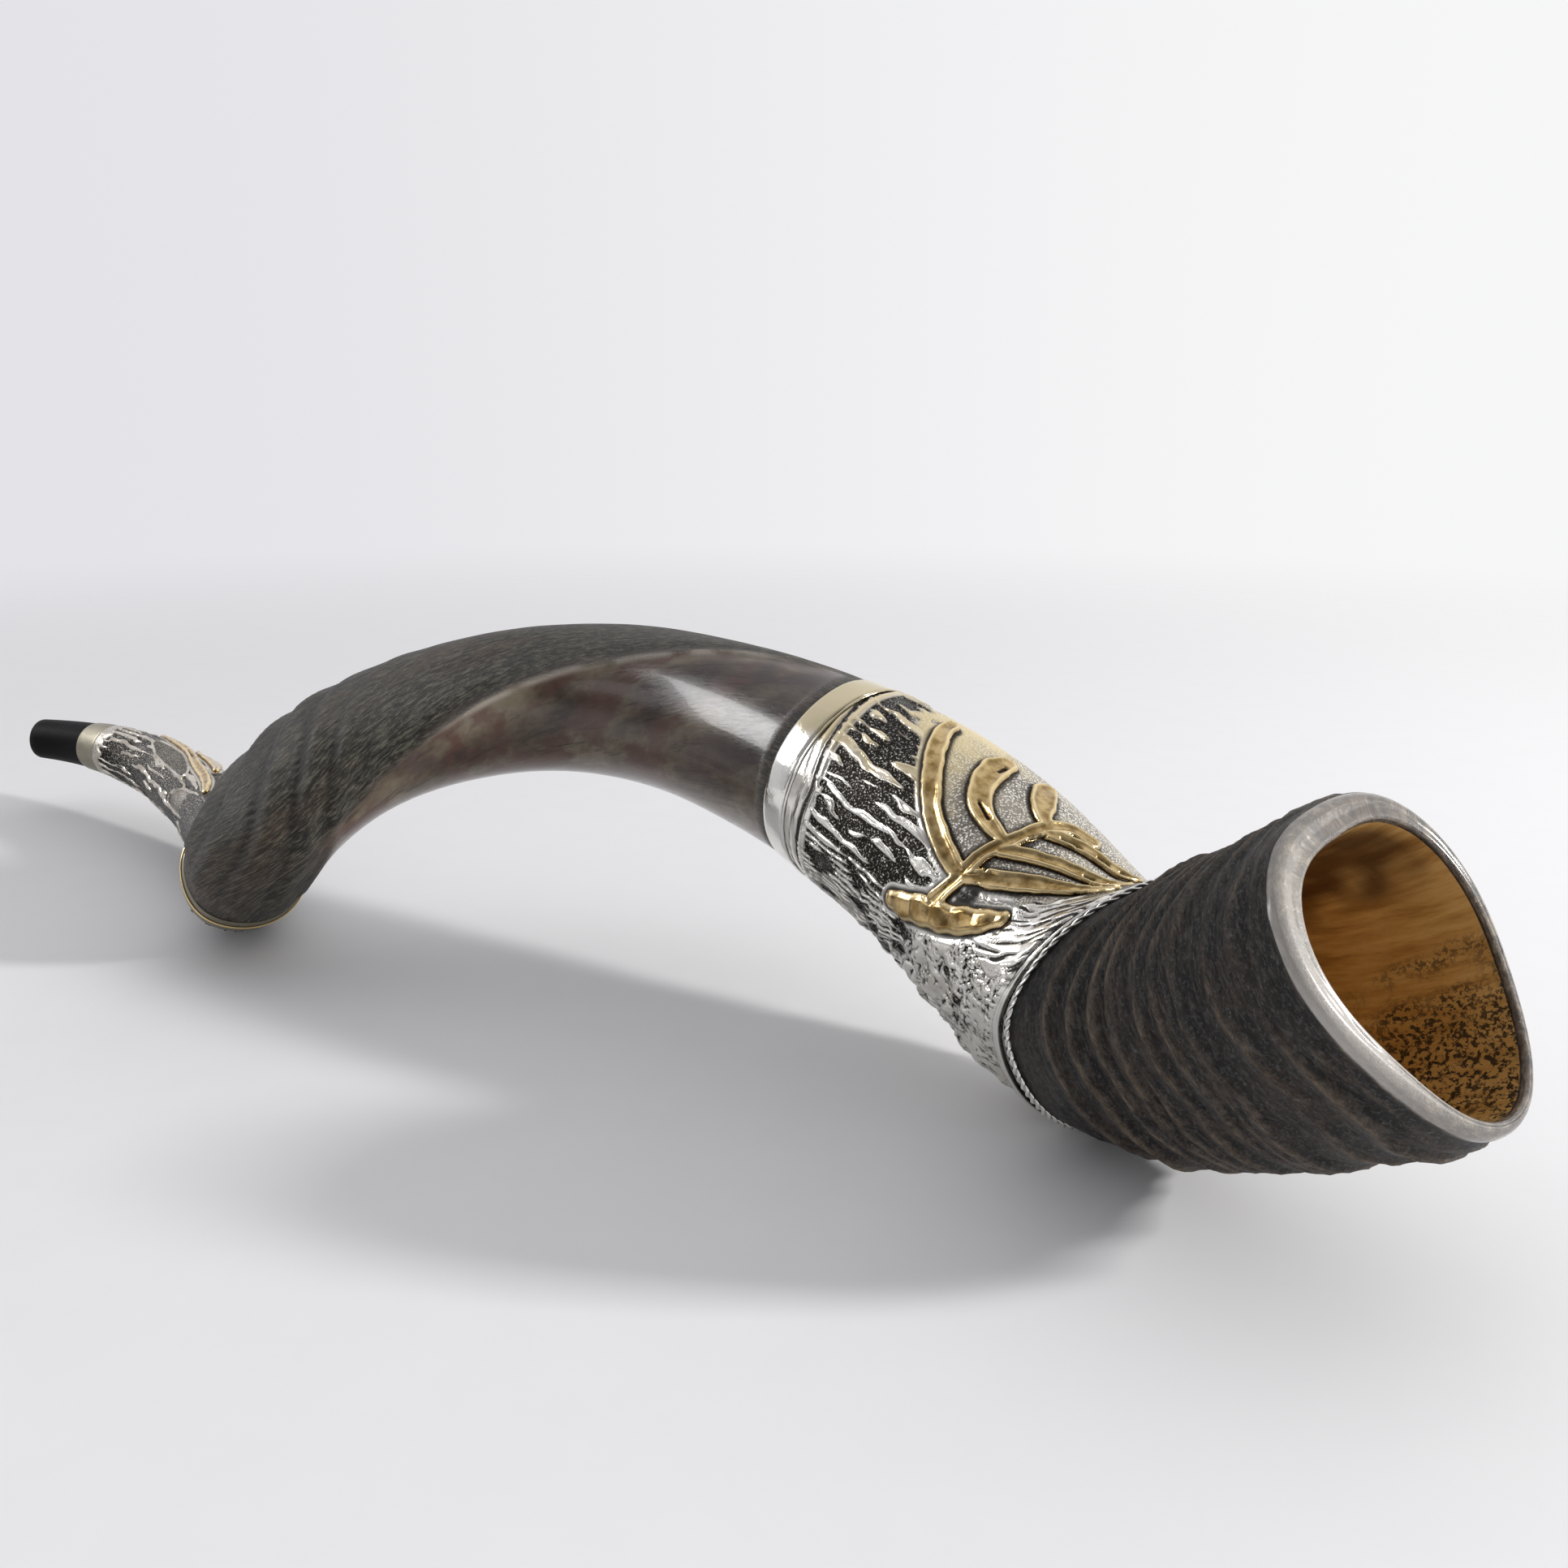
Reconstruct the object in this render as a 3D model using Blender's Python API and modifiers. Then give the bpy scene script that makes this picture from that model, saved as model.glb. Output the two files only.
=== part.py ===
"""Shofar: a hollow spiral antelope horn dressed with two embossed silver sleeves.

The horn is one natural piece. A curved path runs down its middle from the mouthpiece to the
bell, and every other piece is laid on the horn's skin by two coordinates: the distance along
the path from the mouthpiece, and the angle around it (0 on top, 90 degrees on the side that
faces -Y). Lengths below are in millimetres; Blender receives metres.
"""
import math

import bmesh
import bpy
import numpy as np
from mathutils import Vector

MM = 0.001

# ---------------------------------------------------------------- driving dimensions (mm)
# Control points of a uniform cubic B-spline. The first and last lie past the horn's ends.
PATH_POINTS = (
    (-440, -65, 40),
    (-375, 20, 35),
    (-255, 25, 35),
    (-130, -5, 15),
    (-45, -70, 30),
    (-30, -25, 95),
    (35, 90, 110),
    (240, 50, 75),
    (275, 40, 23),
    (387, 0, 86),
    (455, 10, 165),
)
# The point under the middle of the finished object, in the path's own coordinates.
PATH_ORIGIN = (19.1, 13.2, -2.3)

MOUTH_DIAMETER = 22.0
BELL_DIAMETER = 92.0
SEGMENTS = 24

# The horn's section: a keel that winds round it, and at the bell three soft corners and a crown.
KEEL_HEIGHT = 0.045
KEEL_WIDTH_DEG = 26.0
KEEL_ANGLES = (
    (0.0, 250.0), (0.43, 111.0), (0.525, 72.0), (0.6, 46.0), (0.66, 12.0), (0.7, -3.0), (1.0, -55.0),
)
BELL_CORNER_HEIGHT = 0.07
BELL_CORNER_ANGLE = 65.0
BELL_CROWN_HEIGHT = 0.035
BELL_CROWN_ANGLE = 5.0
BELL_CORNERS_START = 0.74

# The waist: the hollow of the bend on top, where the horn turns up into the bell.
WAIST_DEPTH = 6.0
WAIST_PLACE = 768.0
WAIST_REACH = 52.0
WAIST_ANGLE = -22.0
WAIST_SPREAD = 55.0

# The bore: a cup for the lips, a throat, a drilled bore and the horn's natural hollow.
CUP_RADIUS = 7.5
CUP_DEPTH = 11.0
THROAT_RADIUS = 2.8
BORE_RADIUS = 4.0
BORE_END = 190.0
HOLLOW_SWELL = 0.85
BELL_WALL_THIN = 4.0
BELL_WALL_THICK = 10.0
BELL_WALL_THICK_ANGLE = 25.0
MOUTH_EDGE = 1.2
BELL_EDGE = 1.5
CUP_RINGS = (0.6, 0.25, 0.0)

# Growth ridges between the bell sleeve and the rim.
RIDGE_COUNT = 11
RIDGE_HEIGHT = 1.3
RIDGE_START = 8.0
RIDGE_VARIATION = 0.25
RIDGE_BEAT = 2.4

# Places along the path.
MOUTH_SLEEVE_START = 42.0
MOUTH_SLEEVE_END = 326.0
BELL_SLEEVE_START = 622.0
BELL_SLEEVE_END = 761.0
SLEEVE_SLANT = 38.0
SLANT_ANGLE = 5.0
SLANT_START = 690.0
GILT_WIRE_INSET = 3.0
UPPER_WIRE_INSET = 2.0
LOWER_WIRE_INSET = 4.0

# The greatest distance between neighbouring rings of faces.
EDGE_STEP = 5.0
TIP_STEP = 16.0
MOUTH_SLEEVE_STEP = 18.0
BELL_SLEEVE_STEP = 12.0
BARE_HORN_STEP = 22.0
HOLLOW_STEP = 30.0
SHARP_ANGLE_DEG = 35.0

# Layers on the horn's skin, measured outward from it.
SEAT_DEPTH = 1.5
SEAT_RAMP = 4.0
GAP = 0.3
ADHESIVE = 0.5
SHELL = 1.0
WIRE_RADIUS = 0.7
WIRE_GAP = 0.4
ROPE_RADIUS = 0.9
ROPE_CLEARANCE = 3.0
ROPE_SEAT = 0.6
RELIEF_GAP = 0.7
RELIEF_HEIGHT = 1.5
RELIEF_END_WIDTH = 0.35
RELIEF_END_POWER = 5
RELIEF_RINGS = 12


# ---------------------------------------------------------------- path and skin
def spline_point(t):
    """Point on the uniform cubic B-spline, t running from 0 to the number of spans."""
    i = min(int(t), len(PATH_POINTS) - 4)
    a = t - i
    weights = (
        (1 - a) ** 3 / 6,
        (3 * a**3 - 6 * a**2 + 4) / 6,
        (-3 * a**3 + 3 * a**2 + 3 * a + 1) / 6,
        a**3 / 6,
    )
    return sum(w * np.array(PATH_POINTS[i + k], float) for k, w in enumerate(weights))


def measured_path(samples=4000):
    """Dense points of the path and the distance along it at each."""
    spans = len(PATH_POINTS) - 3
    points = np.array([spline_point(t) for t in np.linspace(0, spans - 1e-9, samples)])
    steps = np.linalg.norm(np.diff(points, axis=0), axis=1)
    return points, np.concatenate(([0.0], np.cumsum(steps)))


POINTS, DISTANCES = measured_path()
LENGTH = DISTANCES[-1]


def place(distance):
    """Position, direction, side and up vectors of the path at a distance along it."""
    d = min(max(distance, 0.0), LENGTH)
    at = np.array([np.interp(d, DISTANCES, POINTS[:, k]) for k in range(3)])
    ends = (max(d - 1.0, 0.0), min(d + 1.0, LENGTH))
    a, b = (np.array([np.interp(e, DISTANCES, POINTS[:, k]) for k in range(3)]) for e in ends)
    along = (b - a) / np.linalg.norm(b - a)
    side = np.cross(along, (0.0, 0.0, 1.0))
    side /= np.linalg.norm(side)
    return at + along * (distance - d), along, side, np.cross(side, along)


def smooth(value, low, high):
    """0 below low, 1 above high, with an easy curve between."""
    x = min(max((value - low) / (high - low), 0.0), 1.0)
    return x * x * (3 - 2 * x)


def slanted(distance, angle):
    """Rings near the bell lean: they lie further along on the inside of the bend."""
    if distance < BELL_SLEEVE_END:
        amount = smooth(distance, SLANT_START, BELL_SLEEVE_END)
    else:
        amount = max(LENGTH - distance, 0.0) / (LENGTH - BELL_SLEEVE_END)
    lean = max(math.cos(math.radians(angle - SLANT_ANGLE)), 0.0) ** 2
    return distance + SLEEVE_SLANT * amount * lean


def under_sleeve(distance):
    """1 where a silver sleeve covers the horn, 0 elsewhere."""
    mouth = smooth(distance, MOUTH_SLEEVE_START - SEAT_RAMP, MOUTH_SLEEVE_START)
    mouth *= 1 - smooth(distance, MOUTH_SLEEVE_END, MOUTH_SLEEVE_END + SEAT_RAMP)
    bell = smooth(distance, BELL_SLEEVE_START - SEAT_RAMP, BELL_SLEEVE_START)
    bell *= 1 - smooth(distance, BELL_SLEEVE_END, BELL_SLEEVE_END + SEAT_RAMP)
    return mouth + bell


def waist(distance, angle):
    """How far the skin falls in at the waist."""
    along = (distance - WAIST_PLACE) / WAIST_REACH
    aside = ((angle - WAIST_ANGLE + 180) % 360 - 180) / WAIST_SPREAD
    return WAIST_DEPTH * math.exp(-(along**2) - aside**2)


def skin_radius(distance, angle):
    """Distance from the path to the horn's skin."""
    u = min(max(distance / LENGTH, 0.0), 1.0)
    radius = (MOUTH_DIAMETER + (BELL_DIAMETER - MOUTH_DIAMETER) * u) / 2
    keel = np.interp(u, [k[0] for k in KEEL_ANGLES], [k[1] for k in KEEL_ANGLES])
    away = (angle - keel + 180) % 360 - 180
    fade = smooth(u, 0.05, 0.3) * (1 - smooth(u, 0.7, 0.85))
    bell = BELL_CORNER_HEIGHT * math.cos(math.radians(3 * (angle - BELL_CORNER_ANGLE)))
    bell += BELL_CROWN_HEIGHT * math.cos(math.radians(angle - BELL_CROWN_ANGLE))
    shape = 1 + KEEL_HEIGHT * fade * math.exp(-((away / KEEL_WIDTH_DEG) ** 2))
    shape += bell * smooth(u, BELL_CORNERS_START, 1.0)
    return radius * shape - waist(distance, angle)


def on_ring(distance, angle, radius):
    at, _, side, up = place(distance)
    turn = math.radians(angle)
    return at + radius * (math.cos(turn) * up + math.sin(turn) * side)


def skin_point(distance, angle, offset=0.0):
    """Point on the skin, or above it by offset; the seats under the sleeves are let in."""
    d = slanted(distance, angle)
    radius = skin_radius(d, angle) - SEAT_DEPTH * under_sleeve(distance)
    return on_ring(d, angle, radius + offset)


def bore_radius(distance, angle):
    """Radius of the hollow behind the cup."""
    if distance < BORE_END:
        funnel = smooth(distance, CUP_DEPTH, 3 * CUP_DEPTH)
        return THROAT_RADIUS + (BORE_RADIUS - THROAT_RADIUS) * funnel
    lean = (1 + math.cos(math.radians(angle - BELL_WALL_THICK_ANGLE))) / 2
    wall = BELL_WALL_THIN + (BELL_WALL_THICK - BELL_WALL_THIN) * lean
    share = ((distance - BORE_END) / (LENGTH - BORE_END)) ** HOLLOW_SWELL
    swell = (skin_radius(LENGTH, angle) - wall - BORE_RADIUS) * share
    return BORE_RADIUS + swell - waist(distance, angle) / 2


def bore_point(distance, angle):
    return on_ring(distance, angle, bore_radius(distance, angle))


SLEEVE_TOP = GAP + ADHESIVE + GAP + SHELL
WIRE_SEAT = SLEEVE_TOP + WIRE_GAP
ANGLES = [360.0 * k / SEGMENTS for k in range(SEGMENTS)]


def skin_row(distance, offset=0.0):
    return [skin_point(distance, angle, offset) for angle in ANGLES]


# ---------------------------------------------------------------- meshes and objects
def to_metres(point):
    return Vector((np.array(point) - PATH_ORIGIN) * MM)


def lofted_mesh(name, rows, close_rows=False, cap_ends=False):
    """Quads between neighbouring rings of points; each ring is closed on itself.

    The points of a ring run with the angle and the rings run along the path, so the faces
    look outward.
    """
    mesh = bpy.data.meshes.new(name)
    bm = bmesh.new()
    rings = [[bm.verts.new(to_metres(point)) for point in row] for row in rows]
    following = rings[1:] + ([rings[0]] if close_rows else [])
    for ring, after in zip(rings, following):
        for k in range(len(ring)):
            n = (k + 1) % len(ring)
            bm.faces.new((ring[k], ring[n], after[n], after[k]))
    if cap_ends:
        bm.faces.new(rings[0][::-1])
        bm.faces.new(rings[-1])
    bm.to_mesh(mesh)
    bm.free()
    return mesh


def add_object(name, data, material):
    obj = bpy.data.objects.new(name, data)
    data.materials.append(material)
    if data.id_type == "MESH":
        data.shade_smooth()
        data.set_sharp_from_angle(angle=math.radians(SHARP_ANGLE_DEG))
    COLLECTION.objects.link(obj)
    return obj


def make_material(name, color, roughness, metallic=0.0):
    material = bpy.data.materials.new(name)
    material.use_nodes = True
    shader = material.node_tree.nodes["Principled BSDF"]
    shader.inputs["Base Color"].default_value = (*color, 1.0)
    shader.inputs["Roughness"].default_value = roughness
    shader.inputs["Metallic"].default_value = metallic
    return material


def spaced(start, end, step):
    """Distances from start to end, both included, no more than step apart."""
    return list(np.linspace(start, end, max(2, math.ceil((end - start) / step) + 1)))


MOUTH_SLEEVE_ROWS = spaced(MOUTH_SLEEVE_START, MOUTH_SLEEVE_END, MOUTH_SLEEVE_STEP)
BELL_SLEEVE_ROWS = spaced(BELL_SLEEVE_START, BELL_SLEEVE_END, BELL_SLEEVE_STEP)


# ---------------------------------------------------------------- sub-parts
def horn_outer_rows():
    mouth_edge = [skin_row(0.0, -MOUTH_EDGE), skin_row(MOUTH_EDGE)]
    plain = spaced(TIP_STEP, MOUTH_SLEEVE_START, TIP_STEP) + MOUTH_SLEEVE_ROWS
    plain += spaced(MOUTH_SLEEVE_END + EDGE_STEP, BELL_SLEEVE_START - EDGE_STEP, BARE_HORN_STEP)
    plain += BELL_SLEEVE_ROWS
    rows = mouth_edge + [skin_row(d) for d in plain]
    first = BELL_SLEEVE_END + RIDGE_START
    pitch = (LENGTH - BELL_EDGE - first) / (2 * RIDGE_COUNT)
    for k in range(2 * RIDGE_COUNT):
        height = RIDGE_HEIGHT * (1 - RIDGE_VARIATION + RIDGE_VARIATION * math.sin(RIDGE_BEAT * k))
        rows.append(skin_row(first + pitch * k, height * (k % 2)))
    rows.append(skin_row(LENGTH - BELL_EDGE))
    rows.append(skin_row(LENGTH, -BELL_EDGE))
    return rows


def horn_inner_rows():
    """From the bell back to the lips."""
    hollow = spaced(BORE_END, LENGTH - BELL_EDGE, HOLLOW_STEP)[::-1]
    bore = [BORE_END - HOLLOW_STEP, 3 * CUP_DEPTH, 2 * CUP_DEPTH, CUP_DEPTH]
    rim = [[on_ring(LENGTH, a, bore_radius(LENGTH, a) + BELL_EDGE) for a in ANGLES]]
    tube = [[bore_point(d, a) for a in ANGLES] for d in hollow + bore]
    cup = []
    for share in CUP_RINGS:
        radius = CUP_RADIUS * math.cos(share * math.pi / 2) ** 0.5
        cup.append([on_ring(CUP_DEPTH * share, a, max(radius, THROAT_RADIUS)) for a in ANGLES])
    return rim + tube + cup


def make_horn(material):
    rows = horn_outer_rows() + horn_inner_rows()
    return add_object("horn", lofted_mesh("horn", rows, close_rows=True), material)


def make_shell(name, distances, offset, thickness, material):
    """An open tube laid on the horn's skin, thickened inwards."""
    obj = add_object(name, lofted_mesh(name, [skin_row(d, offset) for d in distances]), material)
    solid = obj.modifiers.new("thickness", "SOLIDIFY")
    solid.thickness = thickness * MM
    solid.offset = -1.0
    return obj


def make_wire(name, distance, offset, radius, material):
    """A round wire that runs once round the horn."""
    curve = bpy.data.curves.new(name, "CURVE")
    curve.dimensions = "3D"
    curve.bevel_depth = radius * MM
    curve.bevel_resolution = 1
    spline = curve.splines.new("POLY")
    spline.points.add(SEGMENTS - 1)
    for point, position in zip(spline.points, skin_row(distance, offset + radius)):
        point.co = (*to_metres(position), 1.0)
    spline.use_cyclic_u = True
    return add_object(name, curve, material)


# ---------------------------------------------------------------- gilt relief
def rounded_route(route, count):
    """Points along a Catmull-Rom curve through the route's own points."""
    pts = np.array(route, float)
    pts = np.vstack((2 * pts[0] - pts[1], pts, 2 * pts[-1] - pts[-2]))
    out = []
    for t in np.linspace(0, len(route) - 1 - 1e-9, count):
        i, a = int(t), t - int(t)
        p0, p1, p2, p3 = pts[i : i + 4]
        bend = (2 * p0 - 5 * p1 + 4 * p2 - p3) * a**2 + (3 * (p1 - p2) + p3 - p0) * a**3
        out.append(0.5 * (2 * p1 + (p2 - p0) * a + bend))
    return np.array(out)


RELIEF_SECTION = (
    (-0.5, 0.0), (-0.5, 0.5), (-0.3, 1.0), (0.0, 0.75), (0.3, 1.0), (0.5, 0.5), (0.5, 0.0), (0.0, 0.0),
)


def make_relief(name, route, width, material, swell=0.0):
    """A raised strip on the sleeve. The route is (distance, angle); width is across it."""
    count = RELIEF_RINGS
    centres = rounded_route(route, count)
    base = SLEEVE_TOP + RELIEF_GAP
    rows = []
    for k, (distance, angle) in enumerate(centres):
        radius = skin_radius(distance, angle) + base
        before, after = centres[max(k - 1, 0)], centres[min(k + 1, count - 1)]
        run = after[0] - before[0]
        turn = math.radians(after[1] - before[1]) * radius
        size = math.hypot(run, turn)
        t = k / (count - 1)
        end = 1 - abs(2 * t - 1) ** RELIEF_END_POWER
        taper = RELIEF_END_WIDTH + (1 - RELIEF_END_WIDTH) * end
        across = width * taper * (1 + swell * math.sin(math.pi * t))
        row = []
        for x, height in RELIEF_SECTION:
            d = distance - x * across * turn / size
            a = angle + math.degrees(x * across * run / size / radius)
            row.append(skin_point_flat(d, a, base + height * RELIEF_HEIGHT))
        rows.append(row)
    return add_object(name, lofted_mesh(name, rows, cap_ends=True), material)


def skin_point_flat(distance, angle, offset):
    """As skin_point, on a sleeve, with the distance taken as it is and not slanted."""
    return on_ring(distance, angle, skin_radius(distance, angle) - SEAT_DEPTH + offset)


LAMPSTAND = {
    "lampstand_base": (((697, 91), (711, 79), (724, 66), (736, 55)), 9.5, 0.15),
    "lampstand_stem": (((713, 65), (713, 40), (714, 9), (715, -14)), 6.0, 0.0),
    "lampstand_left_outer_branch": (((708, 57), (694, 52), (682, 33), (674, 20), (665, -5)), 7.0, 0.0),
    "lampstand_left_middle_branch": (((709, 33), (699, 25), (692, 14), (687, -6)), 7.0, 0.15),
    "lampstand_left_inner_branch": (((710, 12), (705, 3), (704, -5), (700, -16)), 6.0, 0.3),
    "lampstand_right_inner_branch": (((721, 8), (727, -5), (735, -14), (748, -26)), 6.0, 0.1),
    "lampstand_right_middle_branch": (((720, 31), (729, 17), (741, 6), (757, -2), (772, -10)), 6.5, 0.0),
    "lampstand_right_outer_branch": (((720, 54), (731, 38), (744, 26), (762, 18), (780, 14)), 8.0, 0.0),
}
MOUTHPIECE_GILT = {
    "mouthpiece_sleeve_gilt_stem": (((92, -36), (115, -20), (140, 2), (170, 14), (205, 24)), 5.0, 0.0),
    "mouthpiece_sleeve_gilt_leaf": (((120, -62), (138, -44), (158, -24), (176, -14)), 6.0, 0.5),
}


# ---------------------------------------------------------------- build
def make_sleeve(prefix, rows):
    """The adhesive bed and the embossed shell on it."""
    make_shell(prefix + "_adhesive", rows, GAP + ADHESIVE, ADHESIVE, ADHESIVE_RESIN)
    make_shell(prefix, rows, SLEEVE_TOP, SHELL, SILVER)


def make_band(name, start, end):
    """A plain band that closes a sleeve's end, as thick as the sleeve and its bed."""
    make_shell(name, (start, end), SLEEVE_TOP, SLEEVE_TOP - GAP, SILVER)


for old in list(bpy.data.objects):
    bpy.data.objects.remove(old, do_unlink=True)

COLLECTION = bpy.data.collections.new("shofar")
bpy.context.scene.collection.children.link(COLLECTION)

HORN = make_material("horn", (0.12, 0.1, 0.085), 0.45)
SILVER = make_material("silver", (0.78, 0.76, 0.72), 0.25, 1.0)
GILT = make_material("gilt", (0.85, 0.62, 0.27), 0.25, 1.0)
ADHESIVE_RESIN = make_material("adhesive", (0.35, 0.3, 0.22), 0.7)

make_horn(HORN)

make_sleeve("mouthpiece_sleeve", MOUTH_SLEEVE_ROWS[1:-1])
make_band("mouthpiece_sleeve_tip_band", MOUTH_SLEEVE_ROWS[0], MOUTH_SLEEVE_ROWS[1] - GAP)
make_band("mouthpiece_sleeve_lower_band", MOUTH_SLEEVE_ROWS[-2] + GAP, MOUTH_SLEEVE_ROWS[-1])
make_wire(
    "mouthpiece_sleeve_gilt_wire", MOUTH_SLEEVE_END - GILT_WIRE_INSET, WIRE_SEAT, WIRE_RADIUS, GILT
)

make_sleeve("bell_sleeve", BELL_SLEEVE_ROWS[1:])
make_band("bell_sleeve_upper_band", BELL_SLEEVE_ROWS[0], BELL_SLEEVE_ROWS[1] - GAP)
make_wire(
    "bell_sleeve_upper_wire", BELL_SLEEVE_ROWS[1] + UPPER_WIRE_INSET, WIRE_SEAT, WIRE_RADIUS, SILVER
)
make_wire("bell_sleeve_lower_wire", BELL_SLEEVE_END - LOWER_WIRE_INSET, WIRE_SEAT, WIRE_RADIUS, SILVER)
make_wire("bell_sleeve_rope_edge", BELL_SLEEVE_END + ROPE_CLEARANCE, ROPE_SEAT, ROPE_RADIUS, SILVER)

for name, (route, width, swell) in {**LAMPSTAND, **MOUTHPIECE_GILT}.items():
    make_relief(name, route, width, GILT, swell)
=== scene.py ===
"""Shofar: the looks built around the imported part.

Every piece is laid on the horn's skin by two coordinates, as in the part: the distance in
millimetres along the horn from the mouthpiece, and the angle around it in degrees (0 on top,
90 on the side that faces -Y). Shapes are height fields over those two coordinates.
"""
import math

import bpy
import numpy as np
from mathutils import Matrix, Vector


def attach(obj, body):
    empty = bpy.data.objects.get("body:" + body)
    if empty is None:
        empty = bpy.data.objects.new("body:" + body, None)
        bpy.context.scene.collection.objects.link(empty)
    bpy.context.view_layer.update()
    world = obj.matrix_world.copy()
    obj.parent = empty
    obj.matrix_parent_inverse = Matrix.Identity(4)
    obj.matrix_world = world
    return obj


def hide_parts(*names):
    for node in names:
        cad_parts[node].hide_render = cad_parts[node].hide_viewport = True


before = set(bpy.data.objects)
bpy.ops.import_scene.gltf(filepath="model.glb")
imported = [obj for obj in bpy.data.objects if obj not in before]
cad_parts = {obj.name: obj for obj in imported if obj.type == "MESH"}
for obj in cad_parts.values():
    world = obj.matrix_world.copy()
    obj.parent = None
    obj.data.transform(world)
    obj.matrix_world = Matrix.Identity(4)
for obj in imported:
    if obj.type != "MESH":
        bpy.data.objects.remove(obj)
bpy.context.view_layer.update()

MM = 0.001

# ---------------------------------------------------------------- dimensions (mm)
# The part's own driving dimensions, repeated because the frame holds only its solids. The seat's
# ramp is steeper here, and the sleeves' lift is their height above the skin.
PATH_POINTS = (
    (-440, -65, 40),
    (-375, 20, 35),
    (-255, 25, 35),
    (-130, -5, 15),
    (-45, -70, 30),
    (-30, -25, 95),
    (35, 90, 110),
    (240, 50, 75),
    (275, 40, 23),
    (387, 0, 86),
    (455, 10, 165),
)
PATH_ORIGIN = np.array((19.1, 13.2, -2.3))
MOUTH_DIAMETER = 22.0
BELL_DIAMETER = 92.0
KEEL_HEIGHT = 0.045
KEEL_WIDTH_DEG = 26.0
KEEL_ANGLES = (
    (0.0, 250.0), (0.43, 111.0), (0.525, 72.0), (0.6, 46.0), (0.66, 12.0), (0.7, -3.0), (1.0, -55.0),
)
BELL_CORNER_HEIGHT = 0.07
BELL_CORNER_ANGLE = 65.0
BELL_CROWN_HEIGHT = 0.035
BELL_CROWN_ANGLE = 5.0
BELL_CORNERS_START = 0.74
WAIST_DEPTH = 6.0
WAIST_PLACE = 768.0
WAIST_REACH = 52.0
WAIST_ANGLE = -22.0
WAIST_SPREAD = 55.0
CUP_RADIUS = 7.5
CUP_DEPTH = 11.0
THROAT_RADIUS = 2.8
BORE_RADIUS = 4.0
BORE_END = 190.0
HOLLOW_SWELL = 0.85
BELL_WALL_THIN = 4.0
BELL_WALL_THICK = 10.0
BELL_WALL_THICK_ANGLE = 25.0
MOUTH_SLEEVE_START = 42.0
MOUTH_SLEEVE_END = 326.0
BELL_SLEEVE_START = 622.0
BELL_SLEEVE_END = 761.0
SLEEVE_SLANT = 38.0
SLANT_ANGLE = 5.0
SLANT_START = 690.0
SEAT_DEPTH = 1.5
SEAT_RAMP = 0.8
SLEEVE_LIFT = 0.6


# ---------------------------------------------------------------- path and skin
def measured_path(samples=6000):
    """Dense points of the path and the distance along it at each."""
    control = np.array(PATH_POINTS, float)
    t = np.linspace(0, len(control) - 3 - 1e-9, samples)
    i = t.astype(int)
    a = (t - i)[:, None]
    weights = ((1 - a) ** 3, 3 * a**3 - 6 * a**2 + 4, -3 * a**3 + 3 * a**2 + 3 * a + 1, a**3)
    points = sum(w * control[i + k] for k, w in enumerate(weights)) / 6
    steps = np.linalg.norm(np.diff(points, axis=0), axis=1)
    return points, np.concatenate(([0.0], np.cumsum(steps)))


POINTS, DISTANCES = measured_path()
LENGTH = DISTANCES[-1]


def path_point(distance):
    return np.stack([np.interp(distance, DISTANCES, POINTS[:, k]) for k in range(3)], -1)


def place(distance):
    """Position, direction, side and up vectors of the path at an array of distances."""
    d = np.clip(distance, 0.0, LENGTH)
    along = path_point(np.minimum(d + 1, LENGTH)) - path_point(np.maximum(d - 1, 0))
    along /= np.linalg.norm(along, axis=-1, keepdims=True)
    side = np.cross(along, (0.0, 0.0, 1.0))
    side /= np.linalg.norm(side, axis=-1, keepdims=True)
    at = path_point(d) + along * (distance - d)[..., None]
    return at, along, side, np.cross(side, along)


def smooth(value, low, high):
    """0 below low, 1 above high, with an easy curve between."""
    x = np.clip((value - low) / (high - low), 0.0, 1.0)
    return x * x * (3 - 2 * x)


def hill(value, width):
    """1 at zero, falling off on both sides over about the width."""
    return np.exp(-((value / width) ** 2))


def even_angles(columns):
    return np.arange(columns) * 360.0 / columns


def turn_between(angle, other):
    """Signed angle from other to angle, -180 to 180."""
    return (angle - other + 180) % 360 - 180


def slanted(distance, angle):
    """Rings near the bell lean: they lie further along on the inside of the bend."""
    before = smooth(distance, SLANT_START, BELL_SLEEVE_END)
    after = np.clip(LENGTH - distance, 0, None) / (LENGTH - BELL_SLEEVE_END)
    amount = np.where(distance < BELL_SLEEVE_END, before, after)
    lean = np.maximum(np.cos(np.radians(angle - SLANT_ANGLE)), 0.0) ** 2
    return distance + SLEEVE_SLANT * amount * lean


def keel_angle(distance):
    return np.interp(np.clip(distance / LENGTH, 0, 1), *zip(*KEEL_ANGLES))


def waist(distance, angle):
    """The hollow of the bend where the horn turns up into the bell."""
    along = (distance - WAIST_PLACE) / WAIST_REACH
    aside = turn_between(angle, WAIST_ANGLE) / WAIST_SPREAD
    return WAIST_DEPTH * np.exp(-(along**2) - aside**2)


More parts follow.
